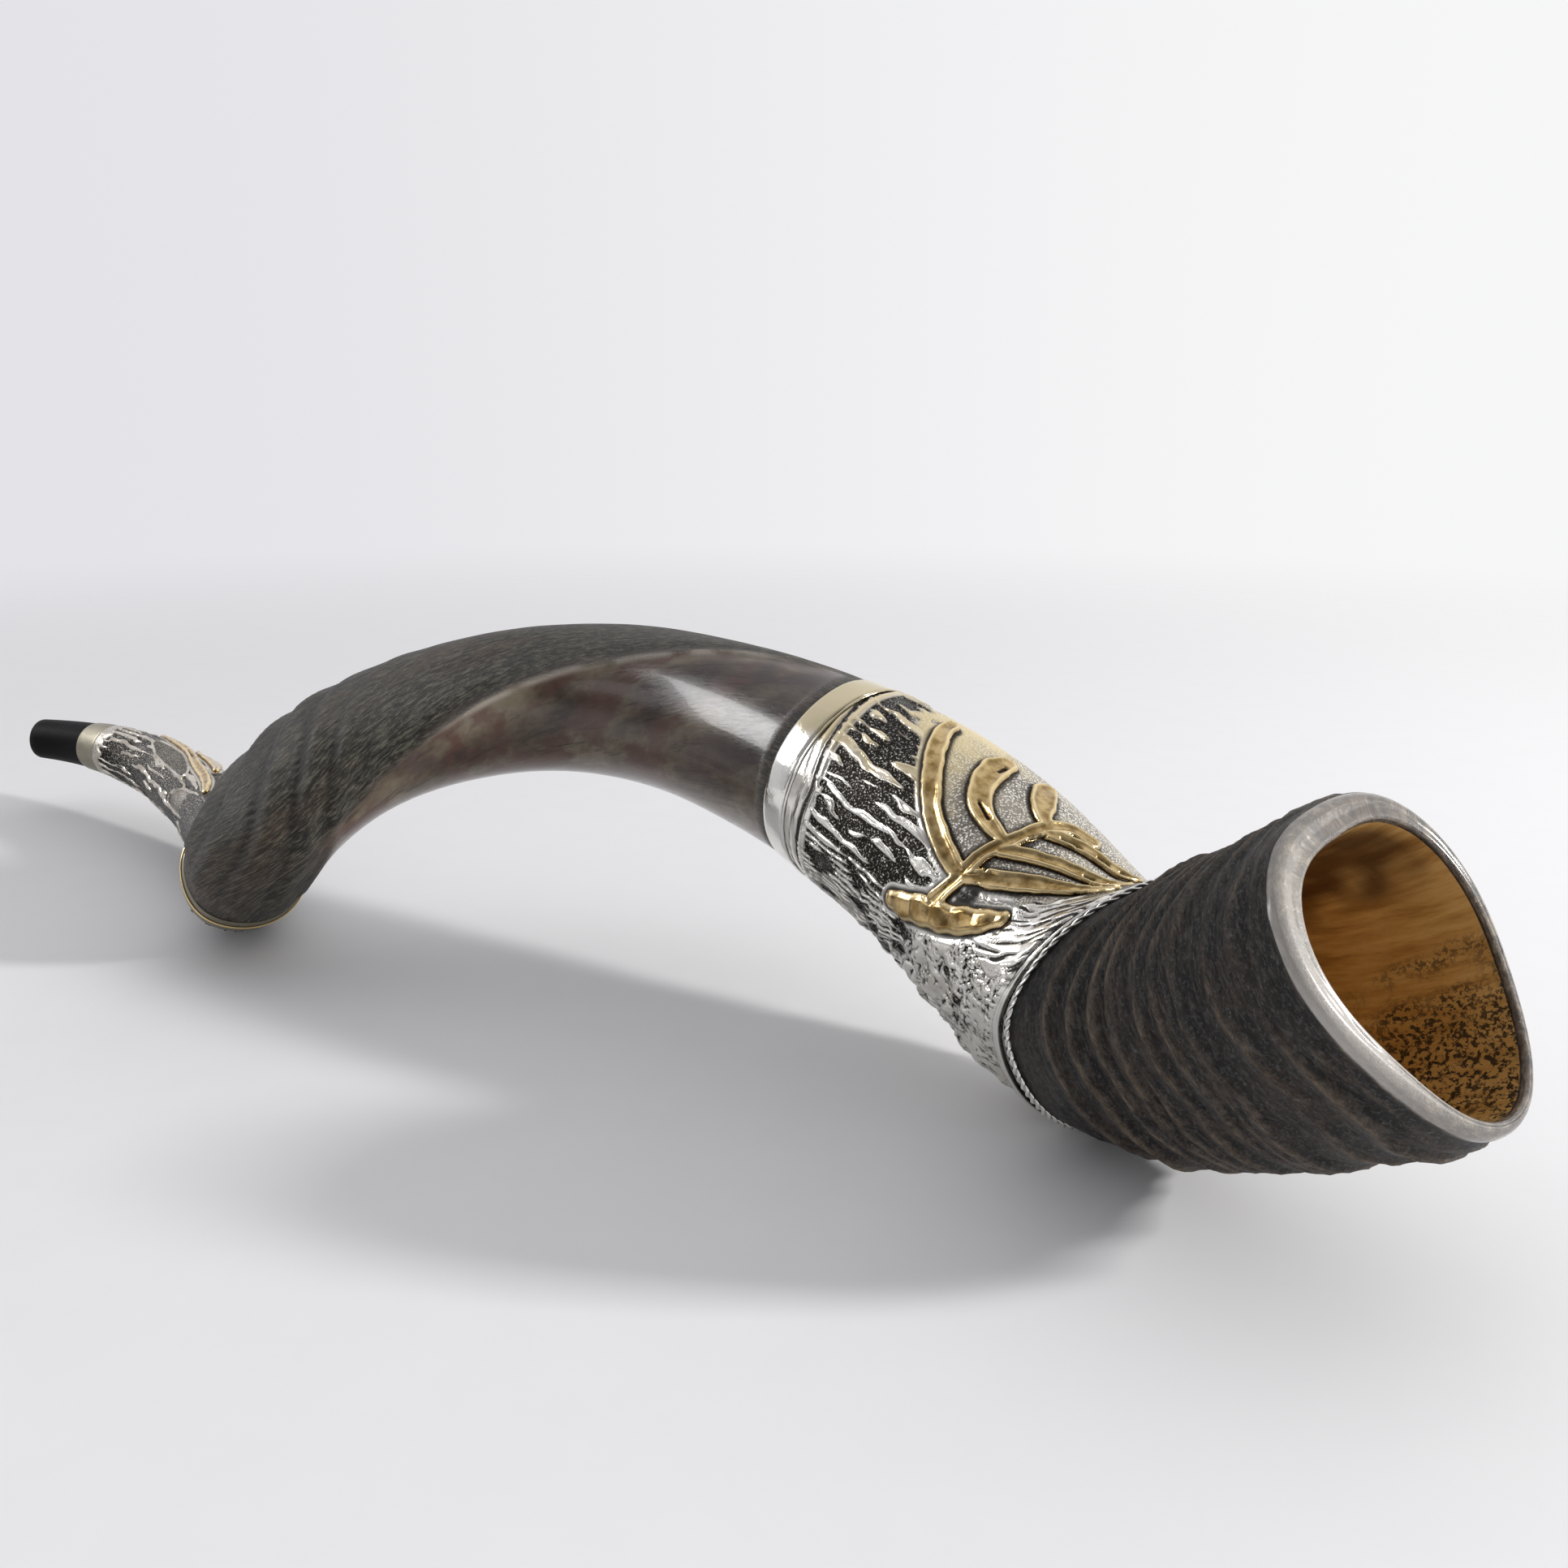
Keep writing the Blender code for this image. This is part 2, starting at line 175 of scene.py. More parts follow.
def skin_radius(distance, angle):
    u = np.clip(distance / LENGTH, 0.0, 1.0)
    radius = (MOUTH_DIAMETER + (BELL_DIAMETER - MOUTH_DIAMETER) * u) / 2
    away = turn_between(angle, keel_angle(distance))
    fade = smooth(u, 0.05, 0.3) * (1 - smooth(u, 0.7, 0.85))
    bell = BELL_CORNER_HEIGHT * np.cos(np.radians(3 * (angle - BELL_CORNER_ANGLE)))
    bell = bell + BELL_CROWN_HEIGHT * np.cos(np.radians(angle - BELL_CROWN_ANGLE))
    shape = 1 + KEEL_HEIGHT * fade * hill(away, KEEL_WIDTH_DEG)
    return radius * (shape + bell * smooth(u, BELL_CORNERS_START, 1.0)) - waist(distance, angle)


def under_sleeve(distance):
    """1 where a sleeve covers the horn, 0 elsewhere."""
    covered = 0.0
    for start, end in ((MOUTH_SLEEVE_START, MOUTH_SLEEVE_END), (BELL_SLEEVE_START, BELL_SLEEVE_END)):
        begun = smooth(distance, start, start + SEAT_RAMP)
        covered = covered + begun * (1 - smooth(distance, end - SEAT_RAMP, end))
    return covered


def on_ring(distance, angle, radius):
    """Points in metres, in the part's frame."""
    at, _, side, up = place(distance)
    turn = np.radians(angle)
    out = np.cos(turn)[..., None] * up + np.sin(turn)[..., None] * side
    return (at + radius[..., None] * out - PATH_ORIGIN) * MM


def skin_point(distance, angle, height=0.0):
    """Points at a height above the skin, without the seats or the slant."""
    return on_ring(distance, angle, skin_radius(distance, angle) + height)


def bore_radius(distance, angle):
    funnel = smooth(distance, CUP_DEPTH, 3 * CUP_DEPTH)
    drilled = THROAT_RADIUS + (BORE_RADIUS - THROAT_RADIUS) * funnel
    lean = (1 + np.cos(np.radians(angle - BELL_WALL_THICK_ANGLE))) / 2
    wall = BELL_WALL_THIN + (BELL_WALL_THICK - BELL_WALL_THIN) * lean
    share = np.clip((distance - BORE_END) / (LENGTH - BORE_END), 0, 1) ** HOLLOW_SWELL
    hollow = BORE_RADIUS + (skin_radius(LENGTH + 0 * distance, angle) - wall - BORE_RADIUS) * share
    return np.where(distance < BORE_END, drilled, hollow - waist(distance, angle) / 2)


# ---------------------------------------------------------------- noise
def lattice_noise(x, y, z, seed):
    """Gradient noise at arrays of places, about -1 to 1, one feature to a unit."""
    rng = np.random.default_rng(seed)
    order = np.tile(rng.permutation(256), 2)
    slopes = rng.normal(size=(256, 3))
    slopes /= np.linalg.norm(slopes, axis=1, keepdims=True)
    cell = [np.floor(v).astype(int) for v in (x, y, z)]
    part = [v - c for v, c in zip((x, y, z), cell)]
    ease = [p**3 * (p * (6 * p - 15) + 10) for p in part]
    total = 0.0
    for i in (0, 1):
        wx = ease[0] if i else 1 - ease[0]
        first = order[(cell[0] + i) & 255]
        for j in (0, 1):
            wy = ease[1] if j else 1 - ease[1]
            second = order[first + ((cell[1] + j) & 255)]
            for k in (0, 1):
                wz = ease[2] if k else 1 - ease[2]
                slope = slopes[order[second + ((cell[2] + k) & 255)]]
                dot = slope[..., 0] * (part[0] - i) + slope[..., 1] * (part[1] - j)
                total = total + wx * wy * wz * (dot + slope[..., 2] * (part[2] - k))
    return total * 1.7


def ripple(spot, wide, long, seed):
    """Noise at straightened places, its features so many mm wide and so many long."""
    x, y, z = spot
    return lattice_noise(x / wide, y / wide, z / long, seed)


def straightened(distance, angle, twist=0.0):
    """Places on the horn as if it were straight: seamless coordinates for noise, in mm."""
    u = np.clip(distance / LENGTH, 0, 1)
    radius = (MOUTH_DIAMETER + (BELL_DIAMETER - MOUTH_DIAMETER) * u) / 2
    turn = np.radians(angle - twist)
    return radius * np.cos(turn), radius * np.sin(turn), distance + 0 * angle


# ---------------------------------------------------------------- meshes
def closed_index(rows, cols):
    """Numbers of a grid's points, with the first row and column again after the last."""
    return np.pad(np.arange(rows * cols).reshape(rows, cols), ((0, 1), (0, 1)), mode="wrap")


def corners(grid):
    """The values at the four corners of every cell, in order round the cell."""
    return grid[:-1, :-1], grid[:-1, 1:], grid[1:, 1:], grid[1:, :-1]


def grid_mesh(name, points, attributes, face_slots=None):
    """A mesh over a grid of points that closes both ways: round the horn, and round its wall."""
    quads = np.stack(corners(closed_index(*points.shape[:2])), -1)
    slots = None if face_slots is None else np.repeat(face_slots, quads.shape[1])
    return build_mesh(name, points.reshape(-1, 3), quads.reshape(-1, 4), attributes, slots)


def build_mesh(name, points, quads, attributes, slots=None):
    mesh = bpy.data.meshes.new(name)
    mesh.vertices.add(len(points))
    mesh.vertices.foreach_set("co", points.astype(np.float32).ravel())
    mesh.loops.add(quads.size)
    mesh.loops.foreach_set("vertex_index", quads.astype(np.int32).ravel())
    mesh.polygons.add(len(quads))
    mesh.polygons.foreach_set("loop_start", np.arange(0, quads.size, 4, dtype=np.int32))
    if slots is not None:
        mesh.polygons.foreach_set("material_index", slots.astype(np.int32))
    for key, values in attributes.items():
        values = np.asarray(values, np.float32)
        vector = values.size == 3 * len(points)
        layer = mesh.attributes.new(key, "FLOAT_VECTOR" if vector else "FLOAT", "POINT")
        layer.data.foreach_set("vector" if vector else "value", values.ravel())
    mesh.update(calc_edges=True)
    mesh.shade_smooth()
    return mesh


def add_piece(name, mesh, materials, slot, *nodes):
    """Links a piece, hangs it on the part's one body and hides the nodes that it stands for."""
    piece = bpy.data.objects.new(name, mesh)
    bpy.context.scene.collection.objects.link(piece)
    for material in materials:
        piece.data.materials.append(material)
    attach(piece, "root")
    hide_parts(*nodes)
    return piece


# ---------------------------------------------------------------- shader nodes
class Shader:
    """Adds nodes to one material and links them."""

    def __init__(self, name):
        self.material = bpy.data.materials.new(name)
        self.material.use_nodes = True
        self.tree = self.material.node_tree
        self.principled = self.tree.nodes["Principled BSDF"]

    def put(self, socket, value):
        if isinstance(value, bpy.types.NodeSocket):
            self.tree.links.new(value, socket)
        elif isinstance(value, tuple) and len(value) == 3 and socket.type == "RGBA":
            socket.default_value = (*value, 1.0)
        else:
            socket.default_value = value

    def node(self, kind, inputs=None, **settings):
        made = self.tree.nodes.new("ShaderNode" + kind)
        for key, value in settings.items():
            setattr(made, key, value)
        for key, value in (inputs or {}).items():
            self.put(made.inputs[key], value)
        return made

    def attribute(self, name):
        return self.node("Attribute", attribute_name=name).outputs["Fac"]

    def attributes(self, *names):
        return [self.attribute(name) for name in names]

    def straight(self, stretch):
        """Straightened coordinates in mm, drawn out along the horn by stretch."""
        source = self.node("Attribute", attribute_name="straight").outputs["Vector"]
        return self.node("Mapping", {"Vector": source, "Scale": (1.0, 1.0, 1.0 / stretch)}).outputs[0]

    def noise(self, vector, scale=1.0, detail=4.0, roughness=0.55, distortion=0.0):
        inputs = {"Vector": vector, "Scale": scale, "Detail": detail, "Roughness": roughness}
        return self.node("TexNoise", {**inputs, "Distortion": distortion}).outputs["Fac"]

    def grain(self, stretch, *settings):
        """Noise over the straightened horn, drawn out along it by stretch."""
        return self.noise(self.straight(stretch), *settings)

    def grains(self, vector, scale):
        """Distance from the nearest of many scattered points."""
        return self.node("TexVoronoi", {"Vector": vector, "Scale": scale}).outputs["Distance"]

    def span(self, value, low, high, start=0.0, end=1.0):
        """value from low to high becomes start to end, clamped, with an easy curve."""
        inputs = {"Value": value, "From Min": low, "From Max": high, "To Min": start, "To Max": end}
        return self.node("MapRange", inputs, interpolation_type="SMOOTHSTEP").outputs["Result"]

    def math(self, operation, a, b):
        return self.node("Math", {0: a, 1: b}, operation=operation).outputs[0]

    def times(self, a, b):
        return self.math("MULTIPLY", a, b)

    def plus(self, a, b):
        return self.math("ADD", a, b)

    def mix(self, share, a, b):
        return self.node("Mix", {0: share, 6: a, 7: b}, data_type="RGBA").outputs[2]

    def ramp(self, value, *stops):
        """A colour ramp with stops (position, colour)."""
        made = self.node("ValToRGB", {"Fac": value})
        elements = made.color_ramp.elements
        while len(elements) < len(stops):
            elements.new(1.0)
        for element, (position, color) in zip(elements, stops):
            element.position = position
            element.color = (*color, 1.0)
        return made.outputs["Color"]

    def bump(self, height, distance, strength=1.0, under=None):
        inputs = {"Height": height, "Distance": distance * MM, "Strength": strength}
        if under is not None:
            inputs["Normal"] = under
        return self.node("Bump", inputs).outputs["Normal"]

    def finish(self, **sockets):
        """Sets the principled shader's sockets, named with underscores for spaces."""
        for key, value in sockets.items():
            self.put(self.principled.inputs[key.replace("_", " ")], value)
        return self.material


# ---------------------------------------------------------------- horn materials
def tip_material():
    """Black satin tip, its edge worn paler and smoother."""
    s = Shader("black_tip")
    wear_and_painted_highlight = s.attribute("wear_and_painted_highlight")
    fine = s.grain(6.0, 1.6, 5.0)
    cloudy = s.grain(2.0, 0.25, 3.0)
    color = s.mix(cloudy, (0.006, 0.006, 0.007), (0.014, 0.013, 0.013))
    color = s.mix(s.times(wear_and_painted_highlight, s.span(fine, 0.3, 0.7)), color, (0.09, 0.075, 0.055))
    rough = s.span(fine, 0.2, 0.8, 0.42, 0.58)
    normal = s.bump(fine, 0.05, 0.5)
    return s.finish(Base_Color=color, Roughness=rough, Normal=normal, IOR=1.12)


def horn_material():
    """Bare horn: a matte fibrous side with painted shade in its growth creases, and a polished side past
    the keel with a painted highlight strip just below the keel.
    """
    s = Shader("bare_horn")
    polish, painted_crease_shade, keel, painted_glint = s.attributes("polish", "painted_crease_shade", "keel", "painted_glint")
    fibres = s.span(s.grain(6.0, 0.9, 6.0, 0.7), 0.33, 0.67)
    strands = s.span(s.grain(6.0, 1.7, 4.0, 0.75), 0.34, 0.66)
    patches = s.grain(3.0, 0.05, 4.0)
    matte = s.ramp(
        fibres, (0.08, (0.010, 0.009, 0.006)), (0.40, (0.031, 0.028, 0.020)), (0.64, (0.066, 0.060, 0.045)),
        (0.92, (0.14, 0.130, 0.102)),
    )
    brown = s.mix(fibres, (0.018, 0.011, 0.007), (0.13, 0.088, 0.056))
    matte = s.mix(s.span(patches, 0.45, 0.65, 0.0, 0.75), matte, brown)
    matte = s.mix(s.span(strands, 0.70, 0.95, 0.0, 0.6), matte, (0.20, 0.185, 0.15))
    matte = s.mix(s.span(strands, 0.08, 0.36, 0.7, 0.0), matte, (0.010, 0.009, 0.007))
    # Painted shade in the creases between the growth ridges.
    matte = s.mix(s.times(painted_crease_shade, 0.7), matte, (0.014, 0.011, 0.008))
    veins = s.grain(9.0, 0.30, 6.0, 0.65, 0.5)
    clouds = s.grain(1.8, 0.05, 4.0, 0.62)
    blush = s.grain(1.4, 0.04, 4.0, 0.6)
    glossy = s.ramp(
        clouds, (0.36, (0.036, 0.021, 0.014)), (0.45, (0.080, 0.056, 0.036)), (0.55, (0.135, 0.104, 0.070)),
        (0.64, (0.185, 0.152, 0.106)),
    )
    glossy = s.mix(s.span(blush, 0.50, 0.60, 0.0, 0.75), glossy, (0.082, 0.032, 0.022))
    glossy = s.mix(s.span(blush, 0.38, 0.48, 0.55, 0.0), glossy, (0.060, 0.036, 0.040))
    glossy = s.mix(s.span(veins, 0.54, 0.68, 0.0, 0.65), glossy, (0.018, 0.009, 0.006))
    color = s.mix(polish, matte, glossy)
    color = s.mix(s.times(keel, 0.8), color, (0.040, 0.022, 0.013))
    # Painted highlight: a pale strip just below the keel crest, in place of a reflection.
    color = s.mix(s.times(painted_glint, 0.85), color, (0.38, 0.34, 0.29))
    rough = s.plus(s.span(fibres, 0.0, 1.0, 0.48, 0.66), s.times(polish, -0.4))
    rough = s.math("MAXIMUM", rough, 0.10)
    depth = s.plus(fibres, s.times(strands, 0.7))
    normal = s.bump(s.times(depth, s.span(polish, 0.0, 1.0, 1.0, 0.03)), 0.5, 0.9)
    return s.finish(
        Base_Color=color, Roughness=rough, Normal=normal,
        Coat_Weight=s.span(polish, 0.4, 1.0, 0.0, 0.3), Coat_Roughness=0.06,
    )


def bell_material():
    """The ridged bell: charcoal fibres along the ridges, a painted tan highlight along the crests, and a
    pale polished rim with a painted highlight on one side.
    """
    s = Shader("bell_horn")
    crest, ridge, rim = s.attributes("crest", "ridge", "rim")
    bands = s.span(s.grain(0.16, 0.07, 7.0, 0.74, 0.3), 0.34, 0.66)
    fibres = s.span(s.grain(0.3, 0.3, 6.0, 0.78), 0.38, 0.62)
    flecks = s.span(s.grain(0.7, 0.8, 5.0, 0.8), 0.36, 0.64)
    patches = s.grain(0.5, 0.05, 3.0)
    level = s.plus(s.times(ridge, 0.34), s.times(bands, 0.62))
    dark = s.ramp(
        level, (0.22, (0.002, 0.002, 0.002)), (0.40, (0.014, 0.012, 0.010)), (0.56, (0.050, 0.041, 0.034)),
        (0.78, (0.16, 0.132, 0.108)),
    )
    brown = s.mix(level, (0.010, 0.006, 0.004), (0.17, 0.108, 0.066))
    dark = s.mix(s.span(patches, 0.44, 0.58, 0.1, 0.8), dark, brown)
    dark = s.mix(s.span(fibres, 0.62, 0.95, 0.0, 0.6), dark, (0.150, 0.130, 0.112))
    dark = s.mix(s.span(fibres, 0.12, 0.42, 0.75, 0.0), dark, (0.003, 0.003, 0.003))
    dark = s.mix(s.span(flecks, 0.72, 0.98, 0.0, 0.55), dark, (0.22, 0.22, 0.225))
    # Painted highlight: tan lines along the crests of the taller ridges, as if lit.
    painted_crest_highlight = s.times(crest, s.span(s.grain(0.6, 0.07, 3.0), 0.32, 0.55))
    tan = s.mix(fibres, (0.15, 0.10, 0.062), (0.46, 0.34, 0.23))
    color = s.mix(s.times(painted_crest_highlight, 0.9), dark, tan)
    streaks = s.grain(0.3, 0.22, 6.0, 0.62)
    pale = s.ramp(
        streaks, (0.38, (0.030, 0.020, 0.013)), (0.5, (0.090, 0.066, 0.045)), (0.62, (0.22, 0.175, 0.125)),
    )
    # Painted highlight on the rim, round the side facing -Y.
    pale = s.mix(s.times(s.attribute("painted_glint"), 0.75), pale, (0.56, 0.53, 0.49))
    color = s.mix(rim, color, pale)
    rough = s.plus(s.span(fibres, 0.0, 1.0, 0.42, 0.64), s.times(rim, -0.2))
    depth = s.plus(fibres, s.times(flecks, 0.8))
    depth = s.times(depth, s.span(rim, 0.0, 1.0, 1.0, 0.08))
    normal = s.bump(depth, 0.9, 1.0)
    return s.finish(
        Base_Color=color, Roughness=rough, Normal=normal,
        Coat_Weight=s.span(rim, 0.3, 1.0, 0.0, 0.9), Coat_Roughness=0.16,
    )


def hollow_material():
    """The inside: warm ochre with lengthwise grain, painted shade deep down and along one side, speckled on
    one side.
    """
    s = Shader("horn_hollow")
    painted_shade, speckled = s.attributes("painted_shade", "speckled")
    grain = s.grain(7.0, 0.22, 6.0, 0.62)
    fine = s.grain(20.0, 1.6, 4.0, 0.6)
    color = s.ramp(
        grain, (0.30, (0.30, 0.140, 0.032)), (0.5, (0.56, 0.33, 0.105)), (0.70, (0.74, 0.50, 0.20)),
    )
    color = s.mix(s.span(fine, 0.58, 0.75, 0.0, 0.3), color, (0.24, 0.10, 0.025))
    # Painted shade deep in the hollow and along one side.
    color = s.mix(s.times(painted_shade, 0.9), color, (0.060, 0.024, 0.008))
    ragged = s.grain(1.0, 0.6, 6.0, 0.7)
    clumps = s.span(s.grain(1.0, 0.15, 5.0, 0.7), 0.36, 0.50)
    mask = s.times(s.times(speckled, clumps), s.span(ragged, 0.50, 0.54))
    mottled = s.mix(ragged, (0.16, 0.08, 0.016), (0.70, 0.45, 0.14))
    color = s.mix(s.times(speckled, 0.5), color, mottled)
    color = s.mix(s.times(mask, 0.95), color, (0.012, 0.008, 0.004))
    depth = s.math("SUBTRACT", grain, s.times(mask, 0.8))
    rough = s.span(grain, 0.3, 0.7, 0.34, 0.5)
    return s.finish(Base_Color=color, Roughness=rough, Normal=s.bump(depth, 0.35, 0.8))


# ---------------------------------------------------------------- metal materials
def embossed_silver(name, bright_tint, worn_tint):
    """Silver, polished on the ridges, black in the grainy recesses, stippled on the plain field."""
    s = Shader(name)
    height, field, stain_and_painted_shade, gilded = s.attributes("relief", "field", "stain_and_painted_shade", "gilded")
    grit = s.grain(1.0, 1.5, 3.0, 0.6)
    specks = s.grains(s.straight(1.0), 1.25)
    tarnish = s.grain(1.5, 0.12, 4.0)
    bright = s.mix(s.span(tarnish, 0.4, 0.7), bright_tint, worn_tint)
    pitted = s.mix(s.span(grit, 0.55, 0.66), (0.014, 0.012, 0.010), (0.50, 0.48, 0.44))
    recess = s.mix(s.span(height, 0.22, 0.62), pitted, bright)
    dots = s.mix(s.span(specks, 0.25, 0.52), (0.92, 0.90, 0.86), (0.20, 0.18, 0.15))
    ground = s.mix(s.span(tarnish, 0.35, 0.65, 0.0, 0.4), dots, (0.55, 0.50, 0.41))
    color = s.mix(field, recess, ground)
    warm = s.mix(height, (0.16, 0.11, 0.04), (0.72, 0.60, 0.35))
    color = s.mix(s.times(gilded, 0.8), color, warm)
    # Darkened by tarnish and dark joints, and on the bell sleeve by painted shade beside the lampstand's
    # branches.
    color = s.mix(stain_and_painted_shade, color, (0.030, 0.026, 0.022))
    rough = s.plus(s.span(height, 0.3, 0.75, 0.38, 0.13), s.times(field, 0.36))
    rough = s.plus(rough, s.times(stain_and_painted_shade, 0.2))
    low = s.span(height, 0.25, 0.7, 1.0, 0.08)
    gritty = s.times(grit, s.math("MAXIMUM", low, s.times(field, 0.25)))
    stipple = s.times(specks, field)
    normal = s.bump(s.math("SUBTRACT", gritty, s.times(stipple, 0.6)), 0.45, 0.9)
    metallic = s.math("SUBTRACT", 1.0, s.times(s.math("MAXIMUM", stain_and_painted_shade, field), 0.5))
    return s.finish(Base_Color=color, Roughness=rough, Metallic=metallic, Normal=normal)


def polished_silver(name, tint=(0.88, 0.86, 0.82), rough=(0.06, 0.2)):
    """Plain bright silver with faint hammering, hairlines and a little tarnish."""
    s = Shader(name)
    gilded, stain_and_painted_shade = s.attributes("gilded", "stain_and_painted_shade")
    dents = s.grain(1.2, 0.22, 3.0)
    hairs = s.grain(0.1, 0.8, 5.0, 0.7)
    dull = s.grain(1.0, 0.1, 4.0)
    color = s.mix(s.span(dull, 0.45, 0.75, 0.0, 0.6), tint, tuple(0.7 * part for part in tint))
    color = s.mix(s.times(gilded, 0.9), color, (0.56, 0.48, 0.30))
    color = s.mix(stain_and_painted_shade, color, (0.028, 0.024, 0.02))
    normal = s.bump(hairs, 0.02, 0.4, s.bump(dents, 0.5, 0.35))
    uneven = s.span(hairs, 0.3, 0.7, *rough)
    return s.finish(Base_Color=color, Metallic=1.0, Roughness=uneven, Normal=normal)


def gilt_material():
    """Gilded relief: raised edges painted bright as a highlight, ochre hollows, and pierced places painted
    dark as shade.
    """
    s = Shader("gilt")
    edge, pierced = s.attributes("edge", "pierced")
    clouds = s.grain(1.0, 0.2, 4.0)
    hammer = s.grain(1.4, 0.3, 3.0)
    middle = s.mix(s.span(clouds, 0.35, 0.65), (0.24, 0.150, 0.050), (0.56, 0.41, 0.20))
    # Painted highlight on the raised beaded edges.
    color = s.mix(edge, middle, (0.86, 0.69, 0.39))
    # Painted shade in the pierced openings.
    color = s.mix(pierced, color, (0.022, 0.014, 0.008))
    normal = s.bump(hammer, 0.4, 0.22)
    rough = s.plus(s.span(clouds, 0.3, 0.7, 0.12, 0.22), s.times(pierced, 0.4))
    return s.finish(Base_Color=color, Metallic=1.0, Roughness=rough, Normal=normal)


def adhesive_material():
    """The resin bed under a sleeve, seen only at its edges."""
    s = Shader("resin_bed")
    clouds = s.noise(s.node("TexCoord").outputs["Object"], 220.0, 4.0)
    color = s.mix(clouds, (0.10, 0.075, 0.045), (0.20, 0.15, 0.09))
    rough = s.span(clouds, 0.3, 0.7, 0.5, 0.7)
    return s.finish(Base_Color=color, Roughness=rough, Normal=s.bump(clouds, 0.1, 0.5))


# ---------------------------------------------------------------- horn
HORN_COLUMNS = 240
TIP_ROWS = 15
MOUTH_SEAT_ROWS = 14
LOOP_ROWS = 146
BELL_SEAT_ROWS = 12
BELL_ROWS = 120
HOLLOW_ROWS = 40
NARROW_ROWS = 14
BORE_ROWS = 5
TIP_ROUNDING = 1.6
RIM_ROUNDING = 3.4
RIM_INNER_ROUNDING = 1.3
LOOP_RIDGE_TURN = 0.41
LOOP_RIDGE_PITCH = LOOP_RIDGE_TURN * 360 / 9
LOOP_RIDGE_HEIGHT = 2.8
BELL_RIDGES = 12
BELL_RIDGE_START = 772.0
BELL_RIDGE_SEED = 5


def polish_mask(distance, angle):
    """1 on the polished side, which begins at the keel and runs below it."""
    past = turn_between(angle, keel_angle(distance))
    spot = straightened(distance, angle)
    ragged = 2.5 * ripple(spot, 7, 16, 15)
    soft = 3 + 9 * (1 - smooth(distance, 380, 450))
    start = smooth(past + ragged, 0.0, soft) * (1 - smooth(past, 150, 172))
    onset = smooth(distance + 0.35 * past, 358, 385)
    return np.where(past > -40, start * onset, 0.0)


def loop_ridges(distance, angle):
    """Oblique growth ridges on the matte side; returns their height and a mask for painted shade in the
    creases between.
    """
    spot = straightened(distance, angle)
    warp = 2.4 * ripple(spot, 24, 34, 21) + 0.3 * ripple(spot, 6, 12, 22)
    phase = (distance + LOOP_RIDGE_TURN * turn_between(angle, 60) + warp) / LOOP_RIDGE_PITCH
    wave = np.abs(np.sin(np.pi * phase))
    reach = 1 - 0.85 * smooth(phase * LOOP_RIDGE_PITCH, 398, 420) - 0.1 * smooth(distance, 440, 540)
    reach = reach * (1 - 0.8 * smooth(distance, 385, 420))
    reach = reach * (1 - 0.4 * smooth(turn_between(angle, 60), 35, 75))
    matte = 1 - polish_mask(distance, angle)
    amount = reach * matte * smooth(distance, 327, 336)
    saw = 0.7 + 0.3 * np.sin(2 * np.pi * phase)
    return LOOP_RIDGE_HEIGHT * wave**0.7 * saw * amount, hill(wave, 0.26) * amount**1.5


def keel_line(distance, angle):
    """A narrow raised line along the keel, over the bare horn."""
    past = turn_between(angle, keel_angle(distance))
    shown = smooth(distance, 400, 440) * (1 - smooth(distance, 590, 620))
    crest = hill(past - 1, 3.0) - 0.8 * hill(past + 7, 4.5)
    return crest * shown


def bell_ridges(distance, angle):
    """Irregular growth ridges round the bell; returns their height and their crests."""
    rng = np.random.default_rng(BELL_RIDGE_SEED)
    steps = rng.uniform(0.4, 1.6, BELL_RIDGES)
    places = BELL_RIDGE_START + np.cumsum(steps) / steps.sum() * (LENGTH - 8 - BELL_RIDGE_START)
    heights = rng.uniform(0.9, 2.6, BELL_RIDGES)
    spot = x, y, z = straightened(distance, angle)
    warp = 3.4 * ripple(spot, 34, 60, 31) + 0.6 * ripple(spot, 8, 30, 32)
    total, crest = 0.0, 0.0
    for k, (at, tall) in enumerate(zip(places, heights)):
        vary = np.clip(0.95 + 0.75 * ripple(spot, 26, 90, 40 + k), 0.3, 1.5)
        off = distance + warp - at
        slope = np.where(off < 0, 3.0, 1.5)
        total = np.maximum(total, tall * vary * np.exp(-((np.abs(off) / slope) ** 1.5)))
        crest = np.maximum(crest, hill(off, 0.6) * np.clip(0.9 * tall * vary - 0.8, 0, 1))
    minor = 0.42 * lattice_noise(x / 22, y / 22, (distance + warp) / 1.7, 60)
    minor = minor + 0.3 * lattice_noise(x / 5, y / 5, (distance + warp) / 1.2, 61)
    return total + minor, crest


